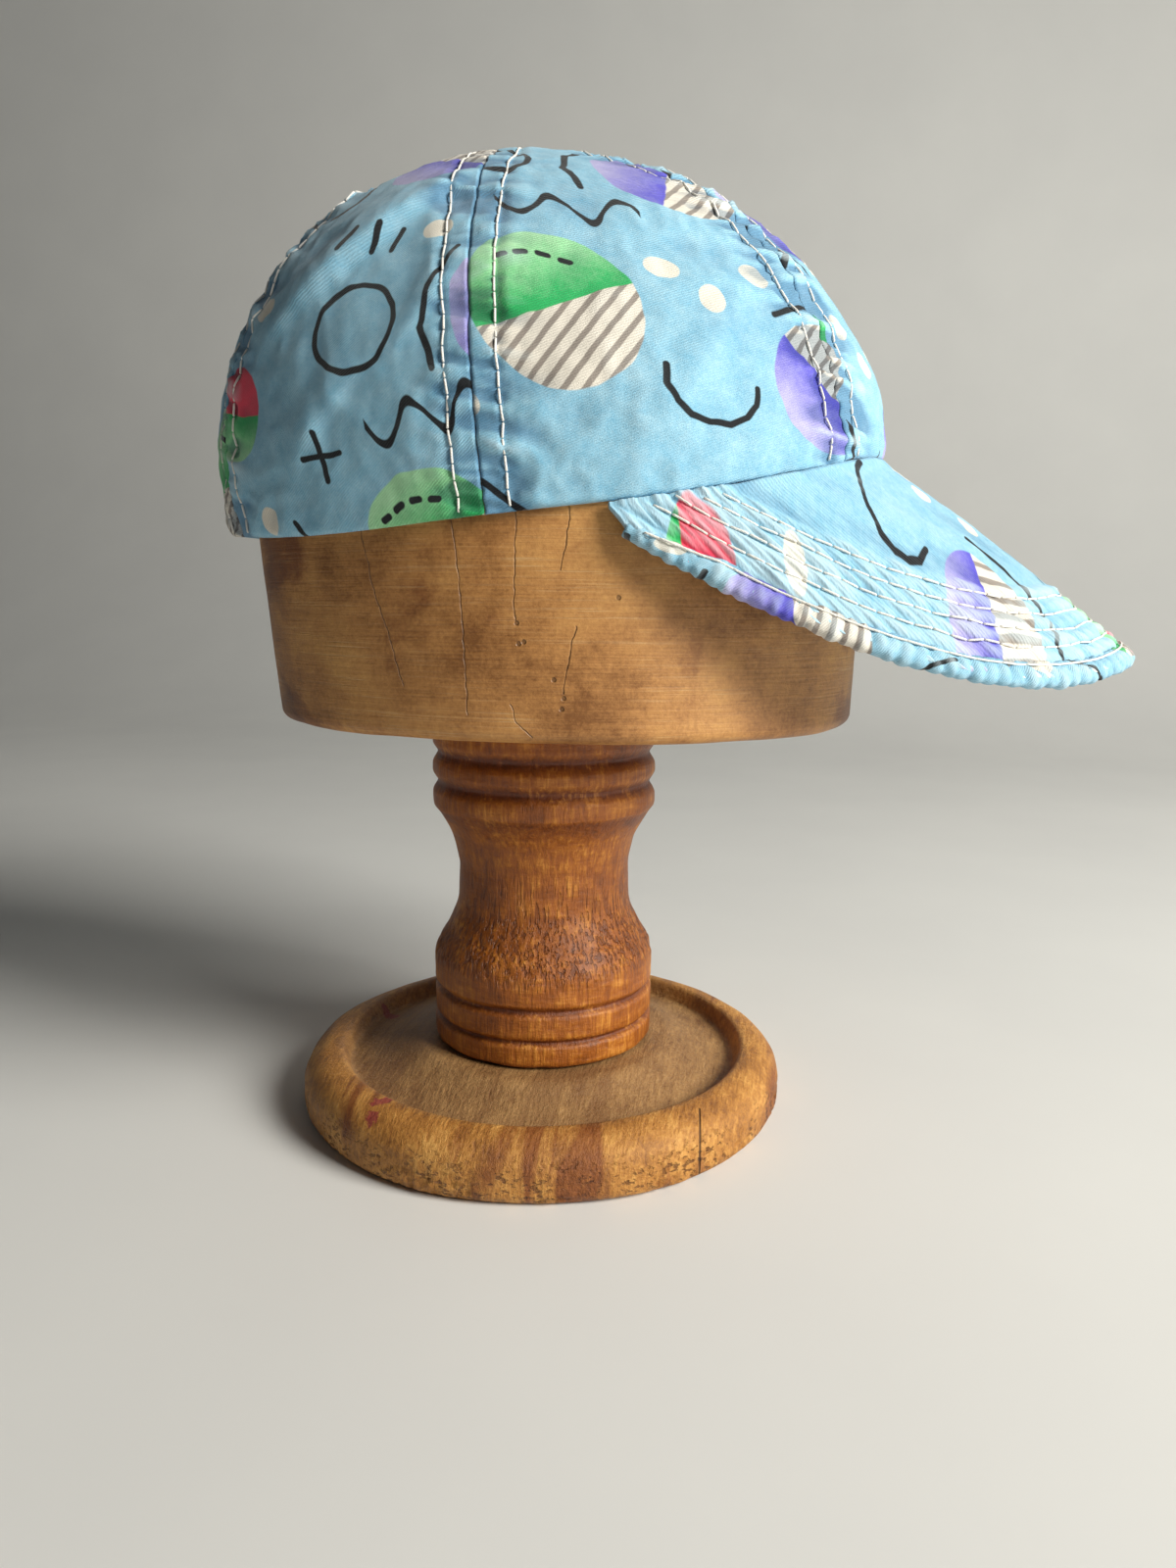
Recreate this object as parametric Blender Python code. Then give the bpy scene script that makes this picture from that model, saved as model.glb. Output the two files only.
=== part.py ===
# Surf cap of six cloth panels and a stitched bill, on a wooden hat block stand.
# Metres, +Z up. The origin is on the post's axis at the underside of the base, and the bill points to +X.
import bpy
import bmesh
from math import atan2, cos, exp, pi, radians, sin, sqrt
from mathutils import Vector

# Clearance between pieces that meet, and between two panels along a seam
gap = 0.0003
seam_gap = 0.00045

# Round base with a shallow dish
base_radius = 0.080
base_height = 0.0190
base_foot_round = 0.0045
base_crest_width = 0.0120
dish_radius = 0.0665
dish_depth = 0.0050
seat_radius = 0.0400
seat_rise = 0.0020
base_sides = 40

# Turned post
post_radius = 0.0365
post_length = 0.1069
post_sides = 32

# Oval hat block: straight wall below, dome above
block_half_length = 0.09575
block_half_width = 0.0790
block_centre_x = 0.0031
block_wall = 0.0792
block_rise = 0.0844
block_foot_half_length = 0.0909
block_foot_half_width = 0.0760
block_foot_x = 0.0064
block_edge_round = 0.0035
block_sides = 44
block_wall_rows = 4
block_dome_rows = 9

# Cap crown: room between cloth and block, and the cloth's thickness
cloth = 0.0013
ease_front = 0.0030
ease_back = 0.0073
ease_side = 0.0021
ease_top = 0.0005
apex_shift = 0.0087
rim_drop = 0.0217
rim_tilt = 0.0088
rim_front_lift = 0.0120
rim_back_lift = 0.0075
rim_tuck = 0.0015
panel_top = 0.989
panel_columns = 12
panel_rows = 14

# Bill and its bound edge
bill_half_turn = radians(70)
bill_reach = 0.0725
bill_fall = 0.0540
bill_dip = 0.0070
bill_belly = 0.0012
bill_thickness = 0.0024
bill_tuck = 0.0009
bill_share = 0.965
bill_columns = 40
bill_rows = 6
binding_cloth = 0.0010
binding_ease = 0.0005
binding_width = 0.0060
binding_arc_steps = 5

# Post outline: height as a share of the post's length, radius as a share of its radius
post_profile = [
    {"up": 0.000, "out": 0.975},
    {"up": 0.012, "out": 1.000},
    {"up": 0.065, "out": 1.000},
    {"up": 0.078, "out": 0.955},
    {"up": 0.091, "out": 1.000},
    {"up": 0.155, "out": 1.000},
    {"up": 0.170, "out": 0.955},
    {"up": 0.187, "out": 1.000},
    {"up": 0.255, "out": 1.000},
    {"up": 0.293, "out": 0.972},
    {"up": 0.325, "out": 0.925},
    {"up": 0.358, "out": 0.868},
    {"up": 0.427, "out": 0.789},
    {"up": 0.523, "out": 0.772},
    {"up": 0.568, "out": 0.779},
    {"up": 0.643, "out": 0.833},
    {"up": 0.702, "out": 0.930},
    {"up": 0.732, "out": 0.992},
    {"up": 0.745, "out": 1.000},
    {"up": 0.778, "out": 1.000},
    {"up": 0.806, "out": 0.950},
    {"up": 0.834, "out": 1.000},
    {"up": 0.866, "out": 1.000},
    {"up": 0.896, "out": 0.950},
    {"up": 0.924, "out": 1.000},
    {"up": 1.000, "out": 1.000},
]

# Seams from the rim to the top: degrees from the front, negative on the wearer's right
seams = [
    {"name": "front_right", "rim": -24, "top": -36},
    {"name": "side_right", "rim": -89, "top": -95},
    {"name": "back_right", "rim": -150, "top": -150},
    {"name": "back_left", "rim": -210, "top": -210},
    {"name": "side_left", "rim": -271, "top": -265},
    {"name": "front_left", "rim": -336, "top": -324},
    {"name": "front_right", "rim": -384, "top": -396},
]
panel_names = [
    "panel_front_right",
    "panel_back_right",
    "panel_back",
    "panel_back_left",
    "panel_front_left",
    "panel_front",
]

# Folds of the cloth: ends as degrees from the front and share of the way up, sizes as shares of the rise
folds = [
    {"turn": -136, "up": 0.33, "to_turn": -98, "to_up": 0.62, "height": 0.026, "above": 0.150, "below": 0.050},
    {"turn": -128, "up": 0.10, "to_turn": -112, "to_up": 0.26, "height": 0.010, "above": 0.080, "below": 0.080},
    {"turn": -62, "up": 0.08, "to_turn": -40, "to_up": 0.36, "height": 0.012, "above": 0.110, "below": 0.110},
    {"turn": 96, "up": 0.40, "to_turn": 128, "to_up": 0.52, "height": 0.014, "above": 0.130, "below": 0.080},
    {"turn": 40, "up": 0.14, "to_turn": 66, "to_up": 0.30, "height": 0.012, "above": 0.110, "below": 0.110},
]

# Shallow dents of the crown, with the same columns for place and size
dents = [
    {"turn": -66, "up": 0.38, "depth": 0.012, "radius": 0.20},
    {"turn": -110, "up": 0.36, "depth": 0.013, "radius": 0.18},
    {"turn": -110, "up": 0.08, "depth": 0.010, "radius": 0.16},
    {"turn": -8, "up": 0.33, "depth": 0.018, "radius": 0.16},
    {"turn": 172, "up": 0.24, "depth": 0.022, "radius": 0.18},
    {"turn": 72, "up": 0.38, "depth": 0.012, "radius": 0.20},
    {"turn": 118, "up": 0.16, "depth": 0.010, "radius": 0.18},
]

# Places worked out from the sizes above
seat_z = base_height + seat_rise
post_z = seat_z + gap
block_z = post_z + post_length + gap
wide_z = block_z + block_wall
crown_half_length = block_half_length + (ease_front + ease_back) / 2 + cloth
crown_half_width = block_half_width + ease_side + cloth
crown_rise = block_rise + ease_top + cloth
crown_x = block_centre_x + (ease_front - ease_back) / 2
dome_arc = (crown_rise + (crown_half_length + crown_half_width) / 2) * pi / 4
bill_slope = atan2(bill_fall, bill_reach)
bill_drop = gap + bill_thickness / 2 * cos(bill_slope)


def clear_scene():
    for old in list(bpy.data.objects):
        bpy.data.objects.remove(old)


def make_material(name, colour, roughness):
    made = bpy.data.materials.new(name)
    made.use_nodes = True
    shader = made.node_tree.nodes["Principled BSDF"]
    shader.inputs["Base Color"].default_value = (*colour, 1)
    shader.inputs["Roughness"].default_value = roughness
    shader.inputs["Metallic"].default_value = 0
    return made


def add_object(name, bm, material, smooth=True):
    bmesh.ops.recalc_face_normals(bm, faces=bm.faces)
    mesh = bpy.data.meshes.new(name)
    bm.to_mesh(mesh)
    bm.free()
    if smooth:
        mesh.shade_smooth()
        mesh.set_sharp_from_angle(angle=radians(40))
    mesh.materials.append(material)
    made = bpy.data.objects.new(name, mesh)
    bpy.context.scene.collection.objects.link(made)
    return made


def turned(name, profile, sides, material):
    # profile runs from the axis, round the outside and back to the axis
    bm = bmesh.new()
    points = [bm.verts.new((out, 0, up)) for out, up in profile]
    edges = [bm.edges.new(pair) for pair in zip(points, points[1:])]
    bmesh.ops.spin(
        bm, geom=points + edges, cent=(0, 0, 0), axis=(0, 0, 1), angle=2 * pi, steps=sides, use_merge=True
    )
    bmesh.ops.remove_doubles(bm, verts=bm.verts, dist=0.00001)
    return add_object(name, bm, material)


def skin(name, rings, material, smooth=True):
    # closed body through rings of equal count, with a flat cap at each end
    bm = bmesh.new()
    loops = [[bm.verts.new(point) for point in ring] for ring in rings]
    for low, high in zip(loops, loops[1:]):
        for k in range(len(low)):
            after = (k + 1) % len(low)
            bm.faces.new((low[k], low[after], high[after], high[k]))
    bm.faces.new(reversed(loops[0]))
    bm.faces.new(loops[-1])
    return add_object(name, bm, material, smooth)


def cloth_sheet(name, grid, thickness, offset, material):
    # one face of the cloth as a grid, given its thickness by Solidify
    bm = bmesh.new()
    rows = [[bm.verts.new(point) for point in row] for row in grid]
    for low, high in zip(rows, rows[1:]):
        for k in range(len(low) - 1):
            bm.faces.new((low[k], low[k + 1], high[k + 1], high[k]))
    made = add_object(name, bm, material)
    solid = made.modifiers.new("cloth", "SOLIDIFY")
    solid.thickness = thickness
    solid.offset = offset
    solid.use_even_offset = True
    return made


def arc(centre_out, centre_up, reach_out, reach_up, start, end, steps):
    # quarter or part of an ellipse, angles from the outward direction
    angles = [start + (end - start) * k / steps for k in range(steps + 1)]
    return [(centre_out + reach_out * cos(a), centre_up + reach_up * sin(a)) for a in angles]


def make_base(wood):
    side_up = base_height * 0.45
    crest = base_radius - base_crest_width
    wall_up = base_height - dish_depth
    profile = [(0, 0)]
    profile += arc(base_radius - base_foot_round, base_foot_round, base_foot_round, base_foot_round, -pi / 2, 0, 3)
    profile += arc(crest, side_up, base_crest_width, base_height - side_up, 0.2, pi / 2, 5)
    profile += [
        (dish_radius, base_height - dish_depth * 0.25),
        (dish_radius - dish_depth * 0.4, wall_up),
        ((dish_radius + seat_radius) / 2, wall_up + (dish_depth + seat_rise) * 0.45),
        (seat_radius, seat_z),
        (0, seat_z),
    ]
    return turned("stand_base", profile, base_sides, wood)


def make_post(wood):
    profile = [(0, post_z)]
    profile += [(post_radius * row["out"], post_z + post_length * row["up"]) for row in post_profile]
    profile += [(0, post_z + post_length)]
    return turned("stand_post", profile, post_sides, wood)


def oval(centre_x, half_length, half_width, height, sides):
    angles = [2 * pi * k / sides for k in range(sides)]
    return [Vector((centre_x + half_length * cos(a), half_width * sin(a), height)) for a in angles]


def make_block(wood):
    rings = []
    for out, up in arc(-block_edge_round, block_edge_round, block_edge_round, block_edge_round, -pi / 2, 0, 3):
        rings.append(
            oval(block_foot_x, block_foot_half_length + out, block_foot_half_width + out, block_z + up, block_sides)
        )
    for k in range(1, block_wall_rows + 1):
        share = k / block_wall_rows
        rings.append(
            oval(
                block_foot_x + (block_centre_x - block_foot_x) * share,
                block_foot_half_length + (block_half_length - block_foot_half_length) * share,
                block_foot_half_width + (block_half_width - block_foot_half_width) * share,
                block_z + block_edge_round + (block_wall - block_edge_round) * share,
                block_sides,
            )
        )
    top_x = crown_x - apex_shift
    for k in range(1, block_dome_rows + 1):
        angle = k / block_dome_rows * radians(87)
        share = cos(angle)
        rings.append(
            oval(
                top_x + (block_centre_x - top_x) * share,
                block_half_length * share,
                block_half_width * share,
                wide_z + block_rise * sin(angle),
                block_sides,
            )
        )
    return skin("stand_block", rings, wood)


def rim_depth(turn):
    # how far the rim lies below the crown's widest section
    front = cos(turn)
    lift = rim_front_lift if front > 0 else rim_back_lift
    return rim_drop - rim_tilt * front - lift * front**4


def smooth_crown(turn, up):
    # outer face of the crown without folds: up runs from 0 at the rim to 1 at the top
    radius = 1 / sqrt((cos(turn) / crown_half_length) ** 2 + (sin(turn) / crown_half_width) ** 2)
    depth = rim_depth(turn)
    along = up * (depth + dome_arc) - depth
    if along < 0:
        share = 1 - rim_tuck / crown_half_width * (along / rim_drop) ** 2
        height = along
        centre = crown_x
    else:
        angle = min(along / dome_arc, 1) * pi / 2
        share = cos(angle)
        height = crown_rise * sin(angle)
        centre = crown_x - apex_shift * (1 - share)
    return Vector((centre + radius * share * cos(turn), radius * share * sin(turn), wide_z + height))


def crown_normal(point):
    height = max(point.z - wide_z, 0)
    centre = crown_x
    return Vector(
        (
            (point.x - centre) / crown_half_length**2,
            point.y / crown_half_width**2,
            height / crown_rise**2,
        )
    ).normalized()


def fold_routes():
    # each fold as short straight steps over the crown
    routes = []
    for fold in folds:
        stops = [k / 6 for k in range(7)]
        turns = [radians(fold["turn"] + (fold["to_turn"] - fold["turn"]) * s) for s in stops]
        ups = [fold["up"] + (fold["to_up"] - fold["up"]) * s for s in stops]
        routes.append([smooth_crown(turn, up) for turn, up in zip(turns, ups)])
    return routes


def fold_height(point, routes):
    total = 0
    for fold, route in zip(folds, routes):
        best = None
        for k, (start, end) in enumerate(zip(route, route[1:])):
            run = end - start
            share = min(max((point - start).dot(run) / run.dot(run), 0), 1)
            near = start + run * share
            away = (point - near).length
            if best is None or away < best[0]:
                best = (away, point.z > near.z, (k + share) / (len(route) - 1))
        away, is_above, place = best
        width = crown_rise * (fold["above"] if is_above else fold["below"])
        fade = sin(pi * min(max(place, 0.04), 0.96)) ** 0.5
        total += crown_rise * fold["height"] * fade * exp(-((away / width) ** 2))
    return total


def dent_depth(point, places):
    total = 0
    for dent, place in zip(dents, places):
        away = (point - place).length / (crown_rise * dent["radius"])
        total += crown_rise * dent["depth"] * exp(-(away**2))
    return total


def crown_point(turn, up, routes, places):
    point = smooth_crown(turn, up)
    push = fold_height(point, routes) - dent_depth(point, places)
    calm = min(1, (1 - up) / 0.15)
    return point + crown_normal(point) * push * calm


def seam_turn(seam, up):
    return radians(seam["rim"] + (seam["top"] - seam["rim"]) * up)


def make_panel(name, low_seam, high_seam, routes, places, fabric):
    grid = []
    for i in range(panel_rows + 1):
        up = panel_top * i / panel_rows
        start = seam_turn(low_seam, up)
        end = seam_turn(high_seam, up)
        around = [crown_point(turn, up, routes, places) for turn in (start, end)]
        across = [Vector((p.x - crown_x + apex_shift * up**4, p.y, 0)).length for p in around]
        start -= seam_gap / 2 / across[0]
        end += seam_gap / 2 / across[1]
        turns = [start + (end - start) * j / panel_columns for j in range(panel_columns + 1)]
        grid.append([crown_point(turn, up, routes, places) for turn in turns])
    return cloth_sheet(name, grid, cloth, -1, fabric)


def bill_inner(share):
    # under the crown's rim, share from -1 to 1 across the front
    turn = share * bill_half_turn
    return smooth_crown(turn, 0) - Vector((bill_tuck * cos(turn), bill_tuck * sin(turn), bill_drop))


def bill_outer(share):
    # elliptic outline from the two rim ends to the tip, with its height along the edge
    corner = bill_inner(1)
    front = bill_inner(0)
    beta = share * pi / 2
    tip_x = front.x + bill_reach
    tip_z = front.z - bill_fall
    x = corner.x + (tip_x - corner.x) * cos(beta)
    y = corner.y * sin(beta)
    z = tip_z + (corner.z - tip_z) * share**4 - bill_dip * sin(pi * share) ** 2
    return Vector((x, y, z))


def bill_point(share, out):
    inner = bill_inner(share)
    outer = bill_outer(share)
    width = (outer - inner).length
    belly = bill_belly * sin(pi * out) * min(1, width / bill_reach)
    return inner.lerp(outer, out) + Vector((0, 0, belly))


def bill_shares():
    return [bill_share * (2 * k / bill_columns - 1) for k in range(bill_columns + 1)]


def make_bill(fabric):
    outs = [i / bill_rows for i in range(bill_rows + 1)]
    grid = [[bill_point(share, out) for share in bill_shares()] for out in outs]
    return cloth_sheet("bill", grid, bill_thickness, 0, fabric)


def binding_section(share):
    # folded tape round the bill's edge: outer face, then inner face back
    step = 0.004
    edge = bill_point(share, 1)
    along = (bill_point(share + step, 1) - bill_point(share - step, 1)).normalized()
    inward = bill_point(share, 1) - bill_point(share, 0.9)
    inward = -(inward - along * inward.dot(along)).normalized()
    normal = along.cross(inward)
    room = bill_thickness / 2 + binding_ease
    leg = min(binding_width, (edge - bill_point(share, 0)).length * 0.45)
    outline = []
    for radius, turns in ((room + binding_cloth, 1), (room, -1)):
        bow = arc(0, 0, -radius, radius * turns, pi / 2, -pi / 2, binding_arc_steps)
        outline += [(leg, radius * turns)] + bow + [(leg, -radius * turns)]
    return [edge + inward * a + normal * b for a, b in outline]


def make_binding(fabric):
    return skin("bill_binding", [binding_section(share) for share in bill_shares()], fabric)


clear_scene()
turned_wood = make_material("turned_wood", (0.36, 0.13, 0.03), 0.55)
worn_wood = make_material("worn_wood", (0.34, 0.18, 0.07), 0.6)
block_wood = make_material("block_wood", (0.30, 0.16, 0.06), 0.6)
print_cotton = make_material("print_cotton", (0.16, 0.40, 0.60), 0.85)

make_base(worn_wood)
make_post(turned_wood)
make_block(block_wood)

fold_lines = fold_routes()
dent_places = [smooth_crown(radians(dent["turn"]), dent["up"]) for dent in dents]
for panel_name, first_seam, next_seam in zip(panel_names, seams, seams[1:]):
    make_panel(panel_name, first_seam, next_seam, fold_lines, dent_places, print_cotton)
make_bill(print_cotton)
make_binding(print_cotton)
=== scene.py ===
# Surf cap on its wooden hat block stand: finish and fine form around the fixed frame
from functools import partial
from math import atan2, cos, exp, hypot, pi, radians, sin, sqrt

import bmesh
import bpy
from mathutils import Matrix, Vector, noise


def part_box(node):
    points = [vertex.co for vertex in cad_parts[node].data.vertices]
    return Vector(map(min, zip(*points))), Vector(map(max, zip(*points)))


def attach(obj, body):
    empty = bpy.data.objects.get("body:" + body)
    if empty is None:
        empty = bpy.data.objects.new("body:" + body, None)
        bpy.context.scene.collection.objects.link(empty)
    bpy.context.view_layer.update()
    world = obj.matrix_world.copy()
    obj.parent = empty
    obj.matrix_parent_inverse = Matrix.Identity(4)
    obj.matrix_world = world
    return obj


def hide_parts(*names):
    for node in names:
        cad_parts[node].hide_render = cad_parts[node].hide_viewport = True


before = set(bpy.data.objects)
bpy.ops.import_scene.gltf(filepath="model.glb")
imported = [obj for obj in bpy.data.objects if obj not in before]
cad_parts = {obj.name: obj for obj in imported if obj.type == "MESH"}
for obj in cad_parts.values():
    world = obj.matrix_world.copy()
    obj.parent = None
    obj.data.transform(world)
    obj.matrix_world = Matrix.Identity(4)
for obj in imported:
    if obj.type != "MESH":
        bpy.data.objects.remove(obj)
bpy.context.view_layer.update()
mm = 0.001
nudge = 0.004  # small move to measure a slope by, in radians or as a share
panelNames = [
    "panel_front_right",
    "panel_back_right",
    "panel_back",
    "panel_back_left",
    "panel_front_left",
    "panel_front",
]
print("frame loaded,", len(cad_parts), "nodes")


# Small tools used by every piece


def smoothStep(low, high, value):
    share = min(max((value - low) / (high - low), 0), 1)
    return share * share * (3 - 2 * share)


def between(low, high, share):
    # values part of the way from one row to another
    return tuple(start + (end - start) * share for start, end in zip(low, high))


def deselectAll():
    bpy.ops.object.select_all(action="DESELECT")


def applyModifiers(piece):
    deselectAll()
    piece.select_set(True)
    bpy.context.view_layer.objects.active = piece
    for modifier in list(piece.modifiers):
        bpy.ops.object.modifier_apply(modifier=modifier.name)


def makeSheet(name, columns, rows, place, plane, thickness, underside=None):
    # a grid shaped over the cloth's outer face, then given its thickness inward
    deselectAll()
    bpy.ops.mesh.primitive_grid_add(x_subdivisions=columns, y_subdivisions=rows, size=1)
    sheet = bpy.context.object
    sheet.name = name
    mesh = sheet.data
    mesh.name = name
    spots = [(vertex.co.x + 0.5, vertex.co.y + 0.5) for vertex in mesh.vertices]
    placed = [place(across, up) for across, up in spots]
    for vertex, (point, wearAndShading) in zip(mesh.vertices, placed):
        vertex.co = point
    # each point's wear and painted shading for the cloth's colour: paler where raised, darker as painted
    # shade in hollows
    wearAndShadingLayer = mesh.attributes.new("wearAndShading", "FLOAT", "POINT")
    wearAndShadingLayer.data.foreach_set("value", [wearAndShading for point, wearAndShading in placed])
    flat = [plane(across, up) for across, up in spots]
    layer = mesh.uv_layers[0]
    layer.name = "cloth"
    for loop in mesh.loops:
        layer.data[loop.index].uv = flat[loop.vertex_index]
    wall = sheet.modifiers.new("wall", "SOLIDIFY")
    wall.thickness = thickness
    wall.offset = -1
    applyModifiers(sheet)
    if underside:
        for vertex, (across, up) in zip(mesh.vertices[len(spots):], spots):
            vertex.co = underside(across, up)
    mesh.shade_smooth()
    return sheet


def makeRound(name, columns, rings, relief):
    # a grid wrapped round its axis through rings of centre x, half length, half width and height,
    # then raised or sunk along its own normals by the relief at each point, in mm
    deselectAll()
    bpy.ops.mesh.primitive_grid_add(x_subdivisions=columns, y_subdivisions=len(rings) - 1, size=1)
    piece = bpy.context.object
    piece.name = name
    piece.data.name = name
    for vertex in piece.data.vertices:
        turn = (vertex.co.x + 0.5) * 2 * pi
        centre, halfLength, halfWidth, height = rings[round((vertex.co.y + 0.5) * (len(rings) - 1))]
        vertex.co = (centre + halfLength * cos(turn), halfWidth * sin(turn), height)
    bpy.ops.object.mode_set(mode="EDIT")
    bpy.ops.mesh.select_all(action="SELECT")
    bpy.ops.mesh.remove_doubles(threshold=0.000005)
    bpy.ops.mesh.normals_make_consistent(inside=False)
    bpy.ops.object.mode_set(mode="OBJECT")
    moves = [vertex.normal * relief(vertex.co / mm) * mm for vertex in piece.data.vertices]
    for vertex, move in zip(piece.data.vertices, moves):
        vertex.co += move
    piece.data.shade_smooth()
    return piece


def roundCorners(points, soft):
    # a line with each corner softened by a short curve
    line = [points[0]]
    for before, corner, after in zip(points, points[1:], points[2:]):
        before, corner, after = Vector(before), Vector(corner), Vector(after)
        back, ahead = before - corner, after - corner
        start = corner + back * min(soft / back.length, 0.45)
        end = corner + ahead * min(soft / ahead.length, 0.45)
        for k in range(5):
            share = k / 4
            line.append(tuple(start.lerp(corner, share).lerp(corner.lerp(end, share), share)))
    line.append(points[-1])
    return line


def fillLine(points, gap):
    # points added so that no two lie further apart than the gap
    line = [points[0]]
    for start, end in zip(points, points[1:]):
        steps = max(1, int((Vector(end) - Vector(start)).length / gap + 0.999))
        line += [tuple(Vector(start).lerp(Vector(end), k / steps)) for k in range(1, steps + 1)]
    return line


def curveThrough(points, stepsEach):
    # rounded line through given points
    padded = [points[0]] + list(points) + [points[-1]]
    line = []
    for k in range(len(points) - 1):
        before, start, end, after = [Vector(p) for p in padded[k:k + 4]]
        for i in range(stepsEach):
            t = i / stepsEach
            bend = 2 * before - 5 * start + 4 * end - after
            twist = 3 * start - before - 3 * end + after
            line.append((2 * start + (end - before) * t + bend * t**2 + twist * t**3) / 2)
    line.append(Vector(points[-1]))
    return line


def runLengths(points):
    # how far a line has run at each of its points, mm
    lengths = [0]
    for start, end in zip(points, points[1:]):
        lengths.append(lengths[-1] + (end - start).length / mm)
    return lengths


def finishPiece(piece, material, node=None):
    piece.data.materials.clear()
    piece.data.materials.append(material)
    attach(piece, "root")
    if node:
        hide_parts(node)


# Crown: smooth form first, then folds, dents, seams and puckers
# Sizes are in metres here and below, except where a note says mm

crown = {
    "halfLength": 0.1022,
    "halfWidth": 0.0824,
    "rise": 0.0862,
    "centreX": 0.00095,
    "apexShift": 0.0087,
    "rimDrop": 0.0217,
    "rimTilt": 0.0088,
    "rimFrontLift": 0.0120,
    "rimBackLift": 0.0075,
    "rimTuck": 0.0015,
    "cloth": 0.0012,
    "seamRoom": 0.00006,
    "panelWidth": 0.075,
    "deepest": -1.2,  # mm that the cloth may sink, so that it stays clear of the block
    "columns": 104,
    "rows": 140,
    "top": 0.9985,
}
crownTop = max(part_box(name)[1][2] for name in panelNames)
wideZ = crownTop - crown["rise"]
domeArc = (crown["rise"] + (crown["halfLength"] + crown["halfWidth"]) / 2) * pi / 4

# degrees from the front at the rim and at the top, and how hard the stitching gathers the cloth;
# the last seam is the first one again, a full turn on
seams = [
    {"rim": -24, "top": -36, "bow": 0, "pucker": 1.75, "seed": 1.3},
    {"rim": -89, "top": -95, "bow": -1.3, "pucker": 0.9, "seed": 6.6},
    {"rim": -150, "top": -150, "bow": 0, "pucker": 1.3, "seed": 11.9},
    {"rim": -210, "top": -210, "bow": 0, "pucker": 1.3, "seed": 17.2},
    {"rim": -271, "top": -265, "bow": 1.3, "pucker": 0.9, "seed": 22.5},
    {"rim": -336, "top": -324, "bow": 0, "pucker": 1.75, "seed": 27.8},
    {"rim": -384, "top": -396, "bow": 0, "pucker": 1.75, "seed": 1.3},
]

# folds run between two places on the crown: turn in degrees, up as a share of the way from rim to
# top, height and the widths above and below in mm
folds = [
    # the long fold of the back right panel
    {"turn": -139, "up": 0.30, "toTurn": -96, "toUp": 0.63, "height": 3.6, "above": 14, "below": 2.8},
    {"turn": -128, "up": 0.10, "toTurn": -112, "toUp": 0.26, "height": 1.7, "above": 7, "below": 3},
    {"turn": -108, "up": 0.24, "toTurn": -96, "toUp": 0.40, "height": 1.2, "above": 6, "below": 3},
    {"turn": -62, "up": 0.08, "toTurn": -40, "toUp": 0.36, "height": 1.8, "above": 9, "below": 5},
    {"turn": -86, "up": 0.10, "toTurn": -66, "toUp": 0.24, "height": 1.0, "above": 6, "below": 3.5},
    {"turn": 96, "up": 0.40, "toTurn": 128, "toUp": 0.52, "height": 1.2, "above": 11, "below": 4},
    {"turn": 40, "up": 0.14, "toTurn": 66, "toUp": 0.30, "height": 1.0, "above": 9, "below": 9},
    {"turn": 150, "up": 0.20, "toTurn": 176, "toUp": 0.30, "height": 0.9, "above": 8, "below": 5},
]

# depth and radius in mm
dents = [
    {"turn": -66, "up": 0.38, "depth": 1.1, "radius": 17},
    {"turn": -110, "up": 0.36, "depth": 1.1, "radius": 15},
    {"turn": -110, "up": 0.08, "depth": 0.9, "radius": 14},
    {"turn": -8, "up": 0.33, "depth": 1.5, "radius": 14},
    {"turn": 172, "up": 0.24, "depth": 1.9, "radius": 15},
    {"turn": 72, "up": 0.38, "depth": 1.1, "radius": 17},
    {"turn": 118, "up": 0.16, "depth": 0.9, "radius": 15},
]

# relief beside a seam, all in mm
seamForm = {
    "row": 6.6,  # from the seam line to the stitch row
    "band": 0.42,
    "valley": 0.55,
    "valleyWidth": 0.38,
    "pinch": 0.38,
    "pinchWidth": 0.75,
    "puff": 0.25,
    "puffWidth": 2.6,
    "gathers": 8.5,  # how far the gathers run out
}


def rimDepth(turn):
    # how far the rim lies under the crown's widest height
    front = cos(turn)
    lift = crown["rimFrontLift"] if front > 0 else crown["rimBackLift"]
    return crown["rimDrop"] - crown["rimTilt"] * front - lift * front**4


def smoothCrown(turn, up):
    # the crown without its relief, up from 0 at the rim to 1 at the top
    radius = 1 / hypot(cos(turn) / crown["halfLength"], sin(turn) / crown["halfWidth"])
    depth = rimDepth(turn)
    along = up * (depth + domeArc) - depth
    if along < 0:
        share = 1 - crown["rimTuck"] / crown["halfWidth"] * (along / crown["rimDrop"]) ** 2
        height = along
        centre = crown["centreX"]
    else:
        angle = min(along / domeArc, 1) * pi / 2
        share = cos(angle)
        height = crown["rise"] * sin(angle)
        centre = crown["centreX"] - crown["apexShift"] * (1 - share)
    return Vector((centre + radius * share * cos(turn), radius * share * sin(turn), wideZ + height))


def crownNormal(point):
    return Vector(
        (
            (point.x - crown["centreX"]) / crown["halfLength"] ** 2,
            point.y / crown["halfWidth"] ** 2,
            max(point.z - wideZ, 0) / crown["rise"] ** 2,
        )
    ).normalized()


def foldLine(fold):
    line = []
    for k in range(9):
        turn, up = between((fold["turn"], fold["up"]), (fold["toTurn"], fold["toUp"]), k / 8)
        line.append(smoothCrown(radians(turn), up))
    return line


foldLines = [foldLine(fold) for fold in folds]
dentPlaces = [smoothCrown(radians(dent["turn"]), dent["up"]) for dent in dents]


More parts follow.
